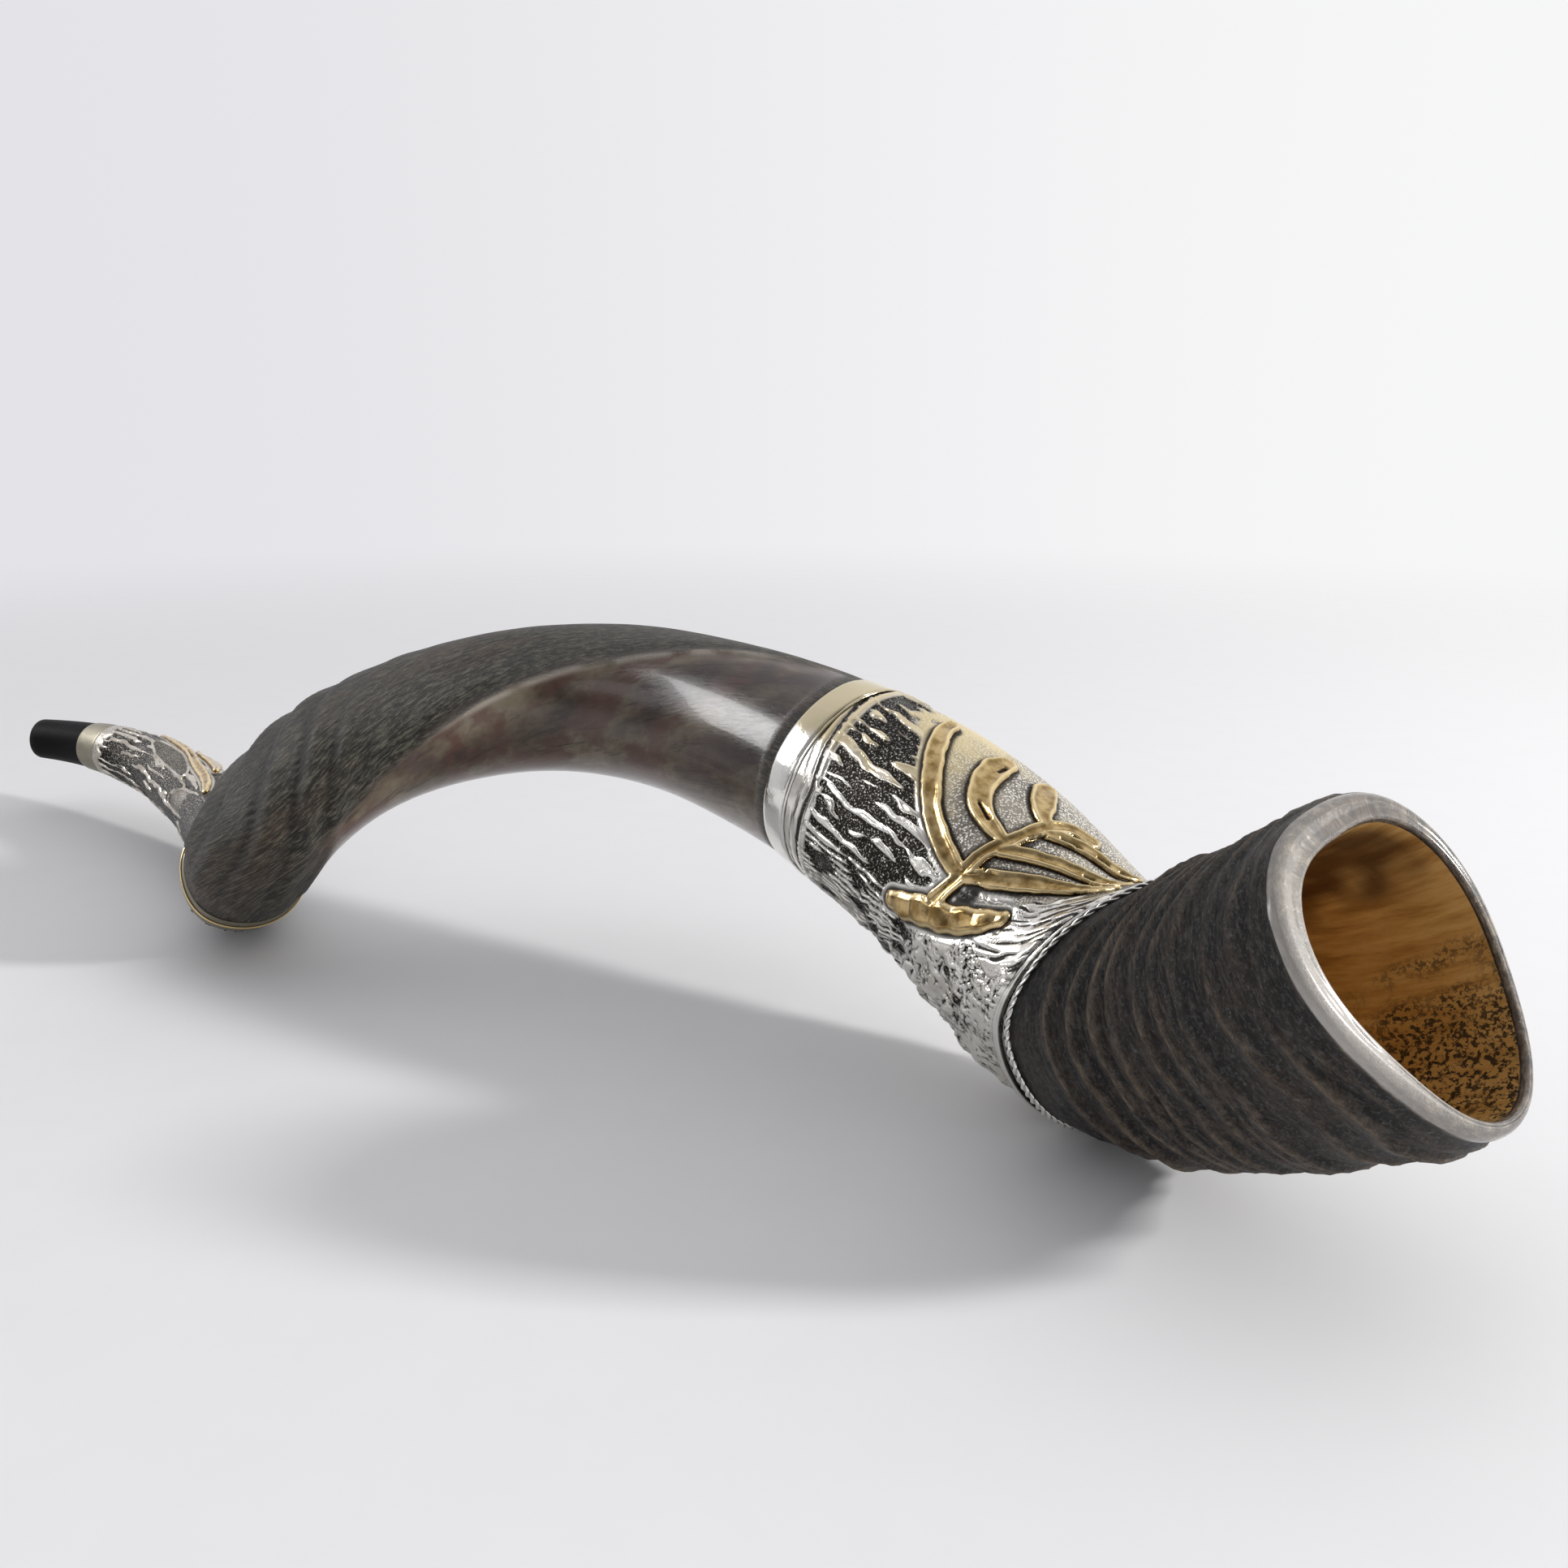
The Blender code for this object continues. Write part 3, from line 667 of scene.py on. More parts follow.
def make_horn(materials):
    """One closed skin: outside, rim, hollow, bore and cup."""
    angles = even_angles(HORN_COLUMNS)
    rows = np.concatenate((
        np.linspace(TIP_ROUNDING, MOUTH_SLEEVE_START - 1, TIP_ROWS),
        np.linspace(MOUTH_SLEEVE_START, MOUTH_SLEEVE_END, MOUTH_SEAT_ROWS),
        np.linspace(MOUTH_SLEEVE_END + 2, BELL_SLEEVE_START - 1, LOOP_ROWS),
        np.linspace(BELL_SLEEVE_START, BELL_SLEEVE_END, BELL_SEAT_ROWS),
        np.linspace(BELL_SLEEVE_END + 1, LENGTH - RIM_ROUNDING, BELL_ROWS),
    ))
    d, a = np.meshgrid(rows, angles, indexing="ij")
    s = slanted(d, a)
    spot = x, y, z = straightened(s, a)
    height, painted_crease_shade = loop_ridges(s, a)
    ridges, crest = bell_ridges(d, a)
    bare = smooth(s, 326, 334) * (1 - smooth(s, 614, 622))
    polish = polish_mask(s, a)
    covered = under_sleeve(d)
    uneven = 0.45 * ripple(spot, 30, 60, 11) * smooth(s, 45, 330) * (1 - covered)
    grain = 0.10 * ripple(spot, 1.7, 26, 12) * (1 - 0.9 * polish)
    relief = bare * (height + grain + 0.9 * keel_line(s, a)) + uneven
    on_bell = smooth(d, 766, 774)
    rimward = smooth(d, LENGTH - 9, LENGTH - RIM_ROUNDING)
    relief = relief + on_bell * (1 - rimward) * (ridges + 1.6 * grain)
    radius = skin_radius(s, a) - SEAT_DEPTH * covered + relief
    on_keel = smooth(s, 405, 450) * (1 - smooth(s, 560, 600))
    on_keel = on_keel * smooth(lattice_noise(z / 14, y / 9, x / 9, 16), -0.5, 0.2)
    rim_noise = ripple(spot, 12, 9, 51)
    rim = smooth(d + 0.7 * rim_noise, LENGTH - 3.9, LENGTH - 3.0)
    masks = {
        # The crease mask is painted shade in the creases between the growth ridges.
        "polish": polish * bare, "painted_crease_shade": painted_crease_shade * bare, "crest": crest * on_bell * (1 - rim),
        "ridge": np.clip(ridges / 1.9, 0, 1) * on_bell,
        "keel": hill(turn_between(a, keel_angle(s)) + 2.5, 2.2) * on_keel,
        # A painted highlight strip just below the keel crest.
        "painted_glint": hill(turn_between(a, keel_angle(s)) - 3.2, 2.2) * on_keel,
        "rim": rim,
    }
    outside_slots = np.select([rows < MOUTH_SLEEVE_START, rows < BELL_SLEEVE_END - 20], [0, 1], 2)
    blocks = [
        (s, radius, masks, outside_slots),
        rim_rows(angles, radius[-1]),
        hollow_rows(angles),
        mouth_rows(angles),
    ]
    distance = np.concatenate([block[0] for block in blocks])
    radius = np.concatenate([block[1] for block in blocks])
    slots = np.concatenate([block[3] for block in blocks])
    angle = np.broadcast_to(angles, distance.shape)
    attributes = {}
    for key in ("polish", "painted_crease_shade", "crest", "ridge", "keel", "painted_glint", "rim", "painted_shade", "speckled"):
        attributes[key] = np.concatenate([b[2].get(key, np.zeros_like(b[0])) for b in blocks])
    # Wear at the mouthpiece's edge only.
    attributes["wear_and_painted_highlight"] = np.exp(-np.clip(distance, 0, None) / 1.8) * (radius > CUP_RADIUS)
    attributes["straight"] = np.stack(straightened(distance, angle, keel_angle(distance)), -1)
    points = on_ring(distance, angle, radius)
    mesh = grid_mesh("horn_body", points, attributes, slots)
    return add_piece("horn_body", mesh, materials, "horn", "horn")


def rim_rows(angles, outer):
    """Round the bell's rim, from the skin to the hollow."""
    inner = bore_radius(LENGTH + 0 * angles, angles)
    wall = outer - inner
    big = np.minimum(RIM_ROUNDING, 0.62 * wall)
    small = np.minimum(RIM_INNER_ROUNDING, 0.3 * wall)
    rows_d, rows_r = [], []
    for t in np.radians(np.linspace(8, 90, 10)):
        rows_d.append(LENGTH - RIM_ROUNDING * (1 - np.sin(t)) + 0 * angles)
        rows_r.append(outer - big * (1 - np.cos(t)))
    turn = np.radians(angles)
    for t in np.linspace(0.08, 1, 12):
        wave = lattice_noise(3.4 * np.cos(turn), 3.4 * np.sin(turn), 3.0 * t + 0 * turn, 61)
        dish = -0.35 * np.sin(np.pi * t) * np.clip(wall / BELL_WALL_THICK, 0, 1)
        rows_d.append(LENGTH + dish + 0.25 * wave * np.sin(np.pi * t))
        rows_r.append((outer - big) * (1 - t) + (inner + small) * t)
    for t in np.radians(np.linspace(12, 90, 7)):
        rows_d.append(LENGTH - RIM_INNER_ROUNDING * (1 - np.cos(t)) + 0 * angles)
        rows_r.append(inner + small * (1 - np.sin(t)))
    d, r = np.array(rows_d), np.array(rows_r)
    # A painted highlight on the rim, round the side facing -Y.
    wear_and_painted_highlight = hill(turn_between(angles, 100), 55) + 0 * d
    return d, r, {"rim": np.ones_like(d), "painted_glint": wear_and_painted_highlight}, np.full(len(d), 2)


def hollow_rows(angles):
    """The hollow and the drilled bore, from the bell back to the cup."""
    deep = np.concatenate((
        np.linspace(LENGTH - 2.2, 740, HOLLOW_ROWS),
        np.linspace(725, BORE_END, NARROW_ROWS),
        np.linspace(150, CUP_DEPTH, BORE_ROWS),
    ))
    d, a = np.meshgrid(deep, angles, indexing="ij")
    spot = straightened(d, a)
    rough = smooth(d, 560, 700)
    radius = bore_radius(d, a) + rough * (
        0.18 * ripple(spot, 2.2, 30, 71) + 0.5 * ripple(spot, 16, 24, 72)
        * (1 - smooth(d, LENGTH - 14, LENGTH - 3))
    )
    facing = np.cos(np.radians(turn_between(a, 212)))
    patchy = ripple(spot, 9, 9, 73)
    speckled = smooth(facing + 0.25 * patchy, 0.55, 0.9) * smooth(d, 815, 840)
    # Painted shade: the hollow darkens deep down and along the side at 330 degrees.
    painted_shade_side = smooth(np.cos(np.radians(turn_between(a, 330))) + 0.12 * patchy, 0.72, 1.0)
    painted_shade = np.clip(1 - smooth(d, 700, 800) + painted_shade_side * (1 - smooth(d, 862, 872)), 0, 1)
    return d, radius, {"speckled": speckled, "painted_shade": painted_shade}, np.full(len(deep), 3)


def mouth_rows(angles):
    """The cup for the lips, the flat ring round it and the rounded outer edge."""
    rows_d, rows_r = [], []
    for share in np.linspace(0.92, 0.0, 9):
        rows_d.append(CUP_DEPTH * share)
        rows_r.append(max(CUP_RADIUS * math.cos(share * math.pi / 2) ** 0.5, THROAT_RADIUS))
    outer = MOUTH_DIAMETER / 2
    rows_d.append(-0.25)
    rows_r.append(CUP_RADIUS + 0.8)
    for t in np.radians(np.linspace(90, 8, 7)):
        rows_d.append(TIP_ROUNDING * (1 - math.sin(t)))
        rows_r.append(outer - TIP_ROUNDING * (1 - math.cos(t)))
    d = np.array(rows_d)[:, None] + 0 * angles
    r = np.array(rows_r)[:, None] + 0 * angles
    return d, r, {}, np.zeros(len(d), int)


# ---------------------------------------------------------------- rings, wires and rope
RING_SEED = 80
BAND_FOOT = -1.15
BAND_BULGE = 0.18
WIRE_SIDES = 12


def ring_piece(name, node, profile, columns, material, slot, uneven, gilded):
    """A closed profile of (distance, height above the skin) carried once round the horn."""
    angles = even_angles(columns)
    d, h = (np.array(values)[:, None] + 0 * angles for values in zip(*profile))
    a = np.broadcast_to(angles, d.shape)
    s = slanted(d, a)
    spot = straightened(s, a)
    wave = uneven * ripple(spot, 6, 6, RING_SEED)
    points = on_ring(s, a, skin_radius(s, a) + h + wave)
    low = np.min(h)
    share = (h - low) / (np.max(h) - low)
    attributes = {
        "straight": np.stack(spot, -1),
        "gilded": gold_tint(s, a) * gilded,
        # Darker on the low part of each profile, towards the skin.
        "stain_and_painted_shade": 0.9 * (1 - smooth(share, 0.35, 0.8)),
    }
    mesh = grid_mesh(name, points, attributes)
    return add_piece(name, mesh, [material], slot, node)


def gold_tint(distance, angle):
    """The gilding's warm tint spreads over the top of the bell sleeve's upper end."""
    spot = straightened(distance, angle)
    ragged = 9 * ripple(spot, 9, 9, 85)
    toward = np.abs(turn_between(angle, -8)) + ragged
    return (1 - smooth(toward, 48, 62)) * (1 - smooth(distance + ragged, 672, 700))


def band_profile(start, end, top=SLEEVE_LIFT):
    """A band with rounded edges and a slight crown."""
    edge = ((0.0, BAND_FOOT), (0.0, top - 0.7), (0.12, top - 0.28), (0.45, top - 0.05))
    profile = [(start + inset, height) for inset, height in edge]
    for t in np.linspace(0.05, 0.95, 10):
        profile.append((start + (end - start) * t, top + BAND_BULGE * math.sin(math.pi * t)))
    return profile + [(end - inset, height) for inset, height in reversed(edge)]


def wire_profile(distance, height, radius):
    turns = [2 * math.pi * k / WIRE_SIDES for k in range(WIRE_SIDES)]
    return [(distance - radius * math.cos(t), height + radius * math.sin(t)) for t in turns]


ROPE_TWISTS = 74
ROPE_STEPS = 9
STRAND_RADIUS = 0.62
STRAND_OFFSET = 0.5
STRAND_SIDES = 8


def make_rope(name, distance, height, material, node):
    """Two strands twisted round each other, laid round the horn against the sleeve's edge."""
    count = ROPE_TWISTS * ROPE_STEPS
    angles = even_angles(count)
    twist = np.radians(angles * ROPE_TWISTS / 2)
    turns = 2 * np.pi * np.arange(STRAND_SIDES) / STRAND_SIDES
    pieces, places = [], []
    for phase in (0.0, np.pi):
        d = distance + STRAND_OFFSET * np.cos(twist + phase) + STRAND_RADIUS * np.cos(turns)[:, None]
        h = height + STRAND_OFFSET * np.sin(twist + phase) + STRAND_RADIUS * np.sin(turns)[:, None]
        a = np.broadcast_to(angles, d.shape)
        s = slanted(d, a)
        pieces.append(on_ring(s, a, skin_radius(s, a) + h))
        places.append(np.stack(straightened(s, a), -1))
    rows, cols = pieces[0].shape[:2]
    index = closed_index(rows, cols)
    quads = np.stack((index[:-1, :-1], index[1:, :-1], index[1:, 1:], index[:-1, 1:]), -1).reshape(-1, 4)
    points = np.concatenate([p.reshape(-1, 3) for p in pieces])
    straight = np.concatenate([p.reshape(-1, 3) for p in places])
    quads = np.concatenate((quads, quads + rows * cols))
    flat = np.zeros(len(points))
    mesh = build_mesh(name, points, quads, {"straight": straight, "gilded": flat, "stain_and_painted_shade": flat})
    return add_piece(name, mesh, [material], "plain_silver", node)


# ---------------------------------------------------------------- gilt relief
GILT_CELL = 0.5
GILT_SUNK = 0.35
GILT_EDGE = 0.8
GILT_MARGIN = 6.0
FAR_AWAY = 50.0
BASE_FACETS = 5.2


def curve_through(stops, spacing=0.3):
    """Dense points on a Catmull-Rom curve; stops are (distance, across in mm, half width)."""
    pts = np.array(stops, float)
    pts = np.vstack((2 * pts[0] - pts[1], pts, 2 * pts[-1] - pts[-2]))
    length = np.linalg.norm(np.diff(pts[:, :2], axis=0), axis=1).sum()
    t = np.linspace(0, len(stops) - 1 - 1e-9, max(8, int(length / spacing)))
    i = t.astype(int)
    a = (t - i)[:, None]
    p0, p1, p2, p3 = (pts[i + k] for k in range(4))
    bend = (2 * p0 - 5 * p1 + 4 * p2 - p3) * a**2 + (3 * (p1 - p2) + p3 - p0) * a**3
    out = 0.5 * (2 * p1 + (p2 - p0) * a + bend)
    out[:, 2] = np.interp(t, np.arange(len(stops)), np.array(stops, float)[:, 2])
    return out


def across(angle, radius):
    return np.radians(angle) * radius


def strip_distance(u, v, strips, radius):
    """Signed distance in mm from the edge of the nearest strip, negative inside."""
    nearest = np.full(u.shape, FAR_AWAY)
    for stops in strips:
        dense = curve_through([(d, across(angle, radius), half) for d, angle, half in stops])
        reach = max(half for _, _, half in stops) + 12
        low, high = dense[:, :2].min(0) - reach, dense[:, :2].max(0) + reach
        near = (u > low[0]) & (u < high[0]) & (v > low[1]) & (v < high[1])
        un, vn, best = u[near], v[near], nearest[near]
        for at, over, half in dense:
            best = np.minimum(best, np.hypot(un - at, vn - over) - half)
        nearest[near] = best
    return nearest


# Strips of the lampstand: (distance, angle, half width). The base is a faceted bar.
LAMP_RADIUS = 40.0
LAMP_BASE = (
    (697, 89, 3.6), (702, 86.5, 4.6), (709, 80.5, 5.0), (718, 73.5, 4.8), (727, 64, 4.3), (735, 54, 3.0),
)
LAMP_STRIPS = (
    ((711, 72, 3.0), (712.5, 58, 2.6), (712, 42, 2.6), (714, 27, 2.7), (715, 9, 2.8), (718, -4, 3.0),
     (724, -11, 3.2)),
    ((711.5, 55, 3.0), (706, 54, 3.4), (698, 50, 3.4), (690, 44, 3.2), (682, 33, 3.3), (675, 21, 3.4),
     (668, 5, 3.3), (665.5, -5, 2.8)),
    ((713, 31, 2.0), (707, 30, 3.0), (700, 27.5, 3.7), (694.5, 21, 4.0), (691, 11, 4.4), (689, 2, 4.6),
     (688.5, -6, 3.6)),
    ((714, 7, 2.0), (710, 4, 3.2), (706.5, -2, 4.3), (703, -9, 4.4), (701.5, -15, 3.2)),
    ((717, 11, 2.2), (722, 3, 3.0), (728, -4, 3.2), (736, -9, 3.4), (745, -14, 3.8), (752, -20, 3.2)),
    ((714.5, 35, 2.4), (719, 29, 2.9), (724, 23, 2.9), (733, 14, 3.2), (745, 7, 3.6), (760, 2, 4.2),
     (773, -1, 3.2)),
    ((713, 55, 2.2), (720, 47, 3.4), (727, 39, 3.8), (734, 31, 3.8), (742, 24, 3.6), (755, 17.5, 3.4),
     (770, 13, 2.8), (780, 11, 1.8)),
)
LAMP_HOLES = (
    ((716, 59.5, 1.0), (719.5, 54, 1.5)),
    ((716.6, 46, 0.7), (716.4, 43, 0.9)),
    ((690.5, 3, 0.9), (690, -3, 1.1)),
    ((697.5, 25.5, 0.8), (703.5, 28.2, 0.9)),
    ((716, 21, 0.6), (717.5, 13, 0.8)),
    ((722.5, -7, 0.8), (724.5, -9.5, 1.0)),
    ((720.5, 6, 0.9), (726, 0, 1.1)),
    ((731, -6, 0.7), (736, -9, 0.9)),
    ((742, -12.5, 1.3), (749.5, -18, 1.5)),
    ((739, 10.5, 0.7), (745, 7, 0.8)),
    ((758, 2.7, 1.5), (770, -0.2, 1.6)),
)
MOUTH_GILT_RADIUS = 18.0
MOUTH_STEM = (
    ((94, -36, 1.8), (114, -23, 2.3), (132, -16, 2.5), (146, -8, 2.3), (158, 1, 2.3), (173, 6, 2.5),
     (190, 11, 2.3), (206, 22, 1.6)),
)
MOUTH_STEM_HOLES = (((136, -14, 0.5), (150, -5, 0.6)),)
MOUTH_LEAF = (((122, -58, 1.2), (136, -41, 3.4), (150, -33, 4.2), (162, -28, 3.6), (176, -14, 1.4)),)


def make_gilt(name, strips, holes, radius, base=None, nodes=()):
    """Raised gilt strips with beaded edges, hollowed middles and pierced places."""
    every = [stop for strip in strips + ((base,) if base else ()) for stop in strip]
    low = [min(stop[k] for stop in every) for k in (0, 1)]
    high = [max(stop[k] for stop in every) for k in (0, 1)]
    u = np.arange(low[0] - GILT_MARGIN, high[0] + GILT_MARGIN, GILT_CELL)
    sides = across(low[1], radius), across(high[1], radius)
    v = np.arange(sides[0] - GILT_MARGIN, sides[1] + GILT_MARGIN, GILT_CELL)
    u, v = np.meshgrid(u, v, indexing="ij")
    wobble = 0.35 * lattice_noise(u / 6, v / 6, 0 * u, 91)
    wobble = wobble + 0.10 * lattice_noise(u / 2.5, v / 2.5, 0 * u, 92)
    signed = strip_distance(u, v, strips, radius) + wobble
    bar = np.full(u.shape, FAR_AWAY)
    if base:
        bar = strip_distance(u, v, (base,), radius) + 0.5 * wobble
        bar = bar + 0.3 * np.cos(2 * np.pi * facet_phase(u, v, base, radius))
    union = np.minimum(signed, bar)
    slope = np.gradient(union, GILT_CELL)
    size = np.maximum(np.hypot(*slope), 1e-6)
    kept = np.maximum.reduce(corners(union)) < 0.4 * GILT_CELL
    index = np.arange(u.size).reshape(u.shape)
    quads = np.stack(corners(index), -1)[kept]
    uses = np.bincount(quads.ravel(), minlength=u.size).reshape(u.shape)
    border = (uses > 0) & (uses < 4)
    shift = np.where(border, np.clip(union, -GILT_CELL, GILT_CELL), 0.0)
    u, v = u - shift * slope[0] / size, v - shift * slope[1] / size
    inside = np.clip(-union, 0, None) * ~border
    bead = hill(inside - GILT_EDGE, 0.5)
    height = 0.75 + 0.62 * smooth(inside, -0.1, 0.9) + 0.34 * bead - 0.5 * smooth(inside, 0.9, 2.6)
    height = height + 0.10 * lattice_noise(u / 6, v / 6, 0 * u, 93)
    if base:
        flank = smooth(-bar, 0.0, 2.2)
        hump = np.abs(np.sin(np.pi * facet_phase(u, v, base, radius))) ** 0.7
        height = np.where(bar < signed, 0.75 + flank * (0.75 + 0.5 * hump), height)
    pierced = smooth(-strip_distance(u, v, holes, radius), -0.15, 0.45)
    height = height * (1 - pierced) + 0.02 * pierced
    used = np.flatnonzero(uses.ravel())
    place_of = np.full(u.size, -1)
    place_of[used] = np.arange(len(used))
    quads = place_of[quads]
    d, a = u.ravel()[used], np.degrees(v.ravel()[used] / radius)
    top = skin_point(d, a, SLEEVE_LIFT + height.ravel()[used])
    under = skin_point(d, a, np.full(len(d), SLEEVE_LIFT - GILT_SUNK))
    quads = closed_over(quads, len(used))
    # The beads carry a painted highlight, and the pierced openings painted shade.
    masks = {"edge": bead, "pierced": pierced}
    attributes = {key: np.tile(values.ravel()[used], 2) for key, values in masks.items()}
    attributes["straight"] = np.tile(np.stack(straightened(d, a), -1), (2, 1))
    mesh = build_mesh(name, np.concatenate((top, under)), quads, attributes)
    return add_piece(name, mesh, [GILT], "gilt", *nodes)


def closed_over(quads, count):
    """The top quads, the same quads underneath turned over, and the walls between them."""
    edges = np.concatenate([quads[:, [k, (k + 1) % 4]] for k in range(4)])
    keys = edges.min(1) * count + edges.max(1)
    _, first, uses = np.unique(keys, return_index=True, return_counts=True)
    rim = edges[first[uses == 1]]
    walls = np.stack((rim[:, 1], rim[:, 0], rim[:, 0] + count, rim[:, 1] + count), -1)
    return np.concatenate((quads, quads[:, ::-1] + count, walls))


def facet_phase(u, v, base, radius):
    """How many facets along the base bar each place lies."""
    start = np.array((base[0][0], across(base[0][1], radius)))
    end = np.array((base[-1][0], across(base[-1][1], radius)))
    line = end - start
    share = ((u - start[0]) * line[0] + (v - start[1]) * line[1]) / (line @ line)
    return share * BASE_FACETS


# ---------------------------------------------------------------- embossed sleeves
def fingers(distance, angle, count, crowding, length, seed):
    """Troughs that run along the horn and end in rounded tips: 0 in a trough, 1 on a ridge."""
    spot = straightened(distance, angle)
    sway = 0.6 * ripple(spot, 13, 26, seed) + 0.26 * ripple(spot, 4, 7, seed + 1)
    phase = count * angle / 360 + crowding + sway
    breaks = ripple(spot, 6, length, seed + 2)
    level = np.cos(2 * np.pi * phase) + 1.45 * breaks + 0.6
    bead = hill(level + 0.25, 0.35)
    return np.clip((1 - smooth(level, -0.5, 0.2)) * 0.8 + 0.35 * bead, 0, 1)


SLEEVE_INSIDE = -0.4
TURNED_EDGE = 0.25


def sleeve_mesh(name, rows, angles, height, attributes):
    """A thin closed shell: the embossed outside, turned edges and a plain inside."""
    d, a = np.meshgrid(rows, angles, indexing="ij")
    s = slanted(d, a)
    outside = skin_radius(s, a) + height
    under_d = np.concatenate((rows[-1:], np.linspace(rows[-1], rows[0], 5), rows[:1]))
    ud, ua = np.meshgrid(under_d, angles, indexing="ij")
    us = slanted(ud, ua)
    inside = skin_radius(us, ua) + SLEEVE_INSIDE
    inside[0] = outside[-1] - TURNED_EDGE
    inside[-1] = outside[0] - TURNED_EDGE
    points = np.concatenate((on_ring(s, a, outside), on_ring(us, ua, inside)))
    pad = np.zeros_like(us)
    full = {key: np.concatenate((values, pad)) for key, values in attributes.items()}
    spots = [np.stack(straightened(*skin), -1) for skin in ((s, a), (us, ua))]
    full["straight"] = np.concatenate(spots)
    return grid_mesh(name, points, full)


BELL_SLEEVE_COLUMNS = 560
BELL_SLEEVE_OUTER_ROWS = 168
# (angle, distance) of the lip under the upper band, and (distance, angle) of the plain field's edge.
LIP_PLACES = ((-180, 637), (-30, 634), (13, 636), (50, 641), (72, 645), (102, 643), (180, 637))
FIELD_EDGE = (
    (640, -60), (650, 7), (663, 14), (679, 35), (692, 52), (700, 62), (735, 46), (762, 22), (790, 14),
)
FIELD_BACK_ANGLE = -62.0
SLEEVE_PITS = (
    (729, 91, 1.6), (737, 97, 1.7), (648, 66, 1.2), (650, 74, 1.5), (655, 5, 1.3), (660, -2, 1.0),
)


def make_bell_sleeve(material):
    """Bark fingers at the top and round the back, a plain field behind the lampstand."""
    start = BELL_SLEEVE_START + (BELL_SLEEVE_END - BELL_SLEEVE_START) / 12
    rows = np.linspace(start, BELL_SLEEVE_END, BELL_SLEEVE_OUTER_ROWS)
    angles = even_angles(BELL_SLEEVE_COLUMNS)
    d, a = np.meshgrid(rows, angles, indexing="ij")
    s = slanted(d, a)
    spot = straightened(s, a)
    signed = turn_between(a, 0)
    v = across(signed, LAMP_RADIUS)
    ragged = ripple(spot, 6, 9, 111)
    edge = np.interp(s, *zip(*FIELD_EDGE))
    field = 1 - smooth(signed + 4 * ragged, edge - 4, edge)
    field = field * smooth(signed + 5 * ragged, FIELD_BACK_ANGLE, -54)
    field = field * smooth(s + 3 * ragged, 650, 656)
    flow = smooth(s, 722, 735) * (1 - smooth(signed + 4 * ragged, 66, 76))
    flow = flow * (1 - field) * smooth(signed, -20, 0)
    blotchy = smooth(s + 0.25 * np.abs(signed - 90) + 4 * ragged, 704, 716) * (1 - field) * (1 - flow)
    crowding = 7 * smooth(a, 88, 138)
    bark_height = fingers(s, a, 46, crowding, 13, 121)
    lip_at = np.interp(signed, *zip(*LIP_PLACES))
    bark_height = np.maximum(bark_height, hill(s - lip_at - 2.6, 2.0) * 0.95)
    patches = ripple(spot, 4.6, 1.3, 141) + 0.4 * ripple(spot, 2.4, 1.4, 143)
    cracks = hill(patches, 0.14) * smooth(ripple(spot, 8, 8, 144) + ripple(spot, 4, 4, 145) / 2, -0.7, -0.2)
    blotches = np.clip(1 - 1.1 * cracks - 0.7 * smooth(-patches, 0.5, 0.75), 0, 1)
    slope_mm = v + 0.36 * (s - 736) + 0.8 * ripple(spot, 9, 9, 151)
    strand = lattice_noise(slope_mm / 1.25, s / 14, 0 * s, 152)
    strands = smooth(strand, -0.35, 0.0)
    height = bark_height * (1 - blotchy) * (1 - flow) + blotches * blotchy + strands * flow
    height = height * (1 - field) + field
    motif = strip_distance(s, v, LAMP_STRIPS + (LAMP_BASE,), LAMP_RADIUS)
    near = 1 - smooth(motif, 1.2, 3.0)
    height = height * (1 - near) + near
    dots = [((at, turn, half), (at + 1, turn, half)) for at, turn, half in SLEEVE_PITS]
    pits = strip_distance(s, v, dots, LAMP_RADIUS)
    height = height * smooth(pits, -0.3, 0.6)
    plain = 1 - smooth(s, lip_at - 1.2, lip_at - 0.4)
    groove = hill(s - lip_at + 0.4, 0.9) + 0.6 * hill(s - lip_at + 4.6, 0.45)
    ends = BELL_SLEEVE_END - d
    border = 1 - smooth(ends, 6.5, 8.0)
    rings = 0.45 + 0.55 * np.cos(2 * np.pi * ends / 2.6)
    height = height * (1 - plain) + plain
    height = np.clip(height - groove, 0, 1) * (1 - border) + rings * border
    deep = 1.15 * (1 - blotchy) * (1 - flow) + 0.95 * blotchy + 0.45 * flow
    deep = deep * (1 - field) * (1 - plain) * (1 - border) + 0.5 * field + 0.7 * border + 0.6 * plain
    lumps = 2.2 * ripple(spot, 9, 6, 161) * smooth(s, 665, 690) * smooth(np.abs(signed), 80, 105)
    lumps = lumps * (1 - border)
    lumps = lumps + 0.09 * ripple(spot, 5, 5, 162)
    proud = 0.75 * (1 - field) * (1 - plain) * (1 - border) * (1 - near)
    top = SLEEVE_LIFT + deep * (height - 1) + proud + lumps
    around = hill(np.clip(motif - 0.5, 0, None), 0.75)
    # Dark joints round the motif, tarnish in the groove and between the strands, and painted shade beside
    # the branches and under the stem's foot.
    stain_and_painted_shade = around + 0.8 * np.clip(groove, 0, 1) + pocket_shade(s, v) + flow * (1 - strands)
    attributes = {
        "relief": np.clip(height + 0.5 * border, 0, 1),
        "field": field * (1 - plain) * (1 - border),
        "stain_and_painted_shade": np.clip(stain_and_painted_shade, 0, 1),
        "gilded": gold_tint(s, a) * smooth(height, 0.2, 0.8),
    }
    mesh = sleeve_mesh("bell_sleeve_embossed", rows, angles, top, attributes)
    return add_piece("bell_sleeve_embossed", mesh, [material], "embossed_silver", "bell_sleeve")


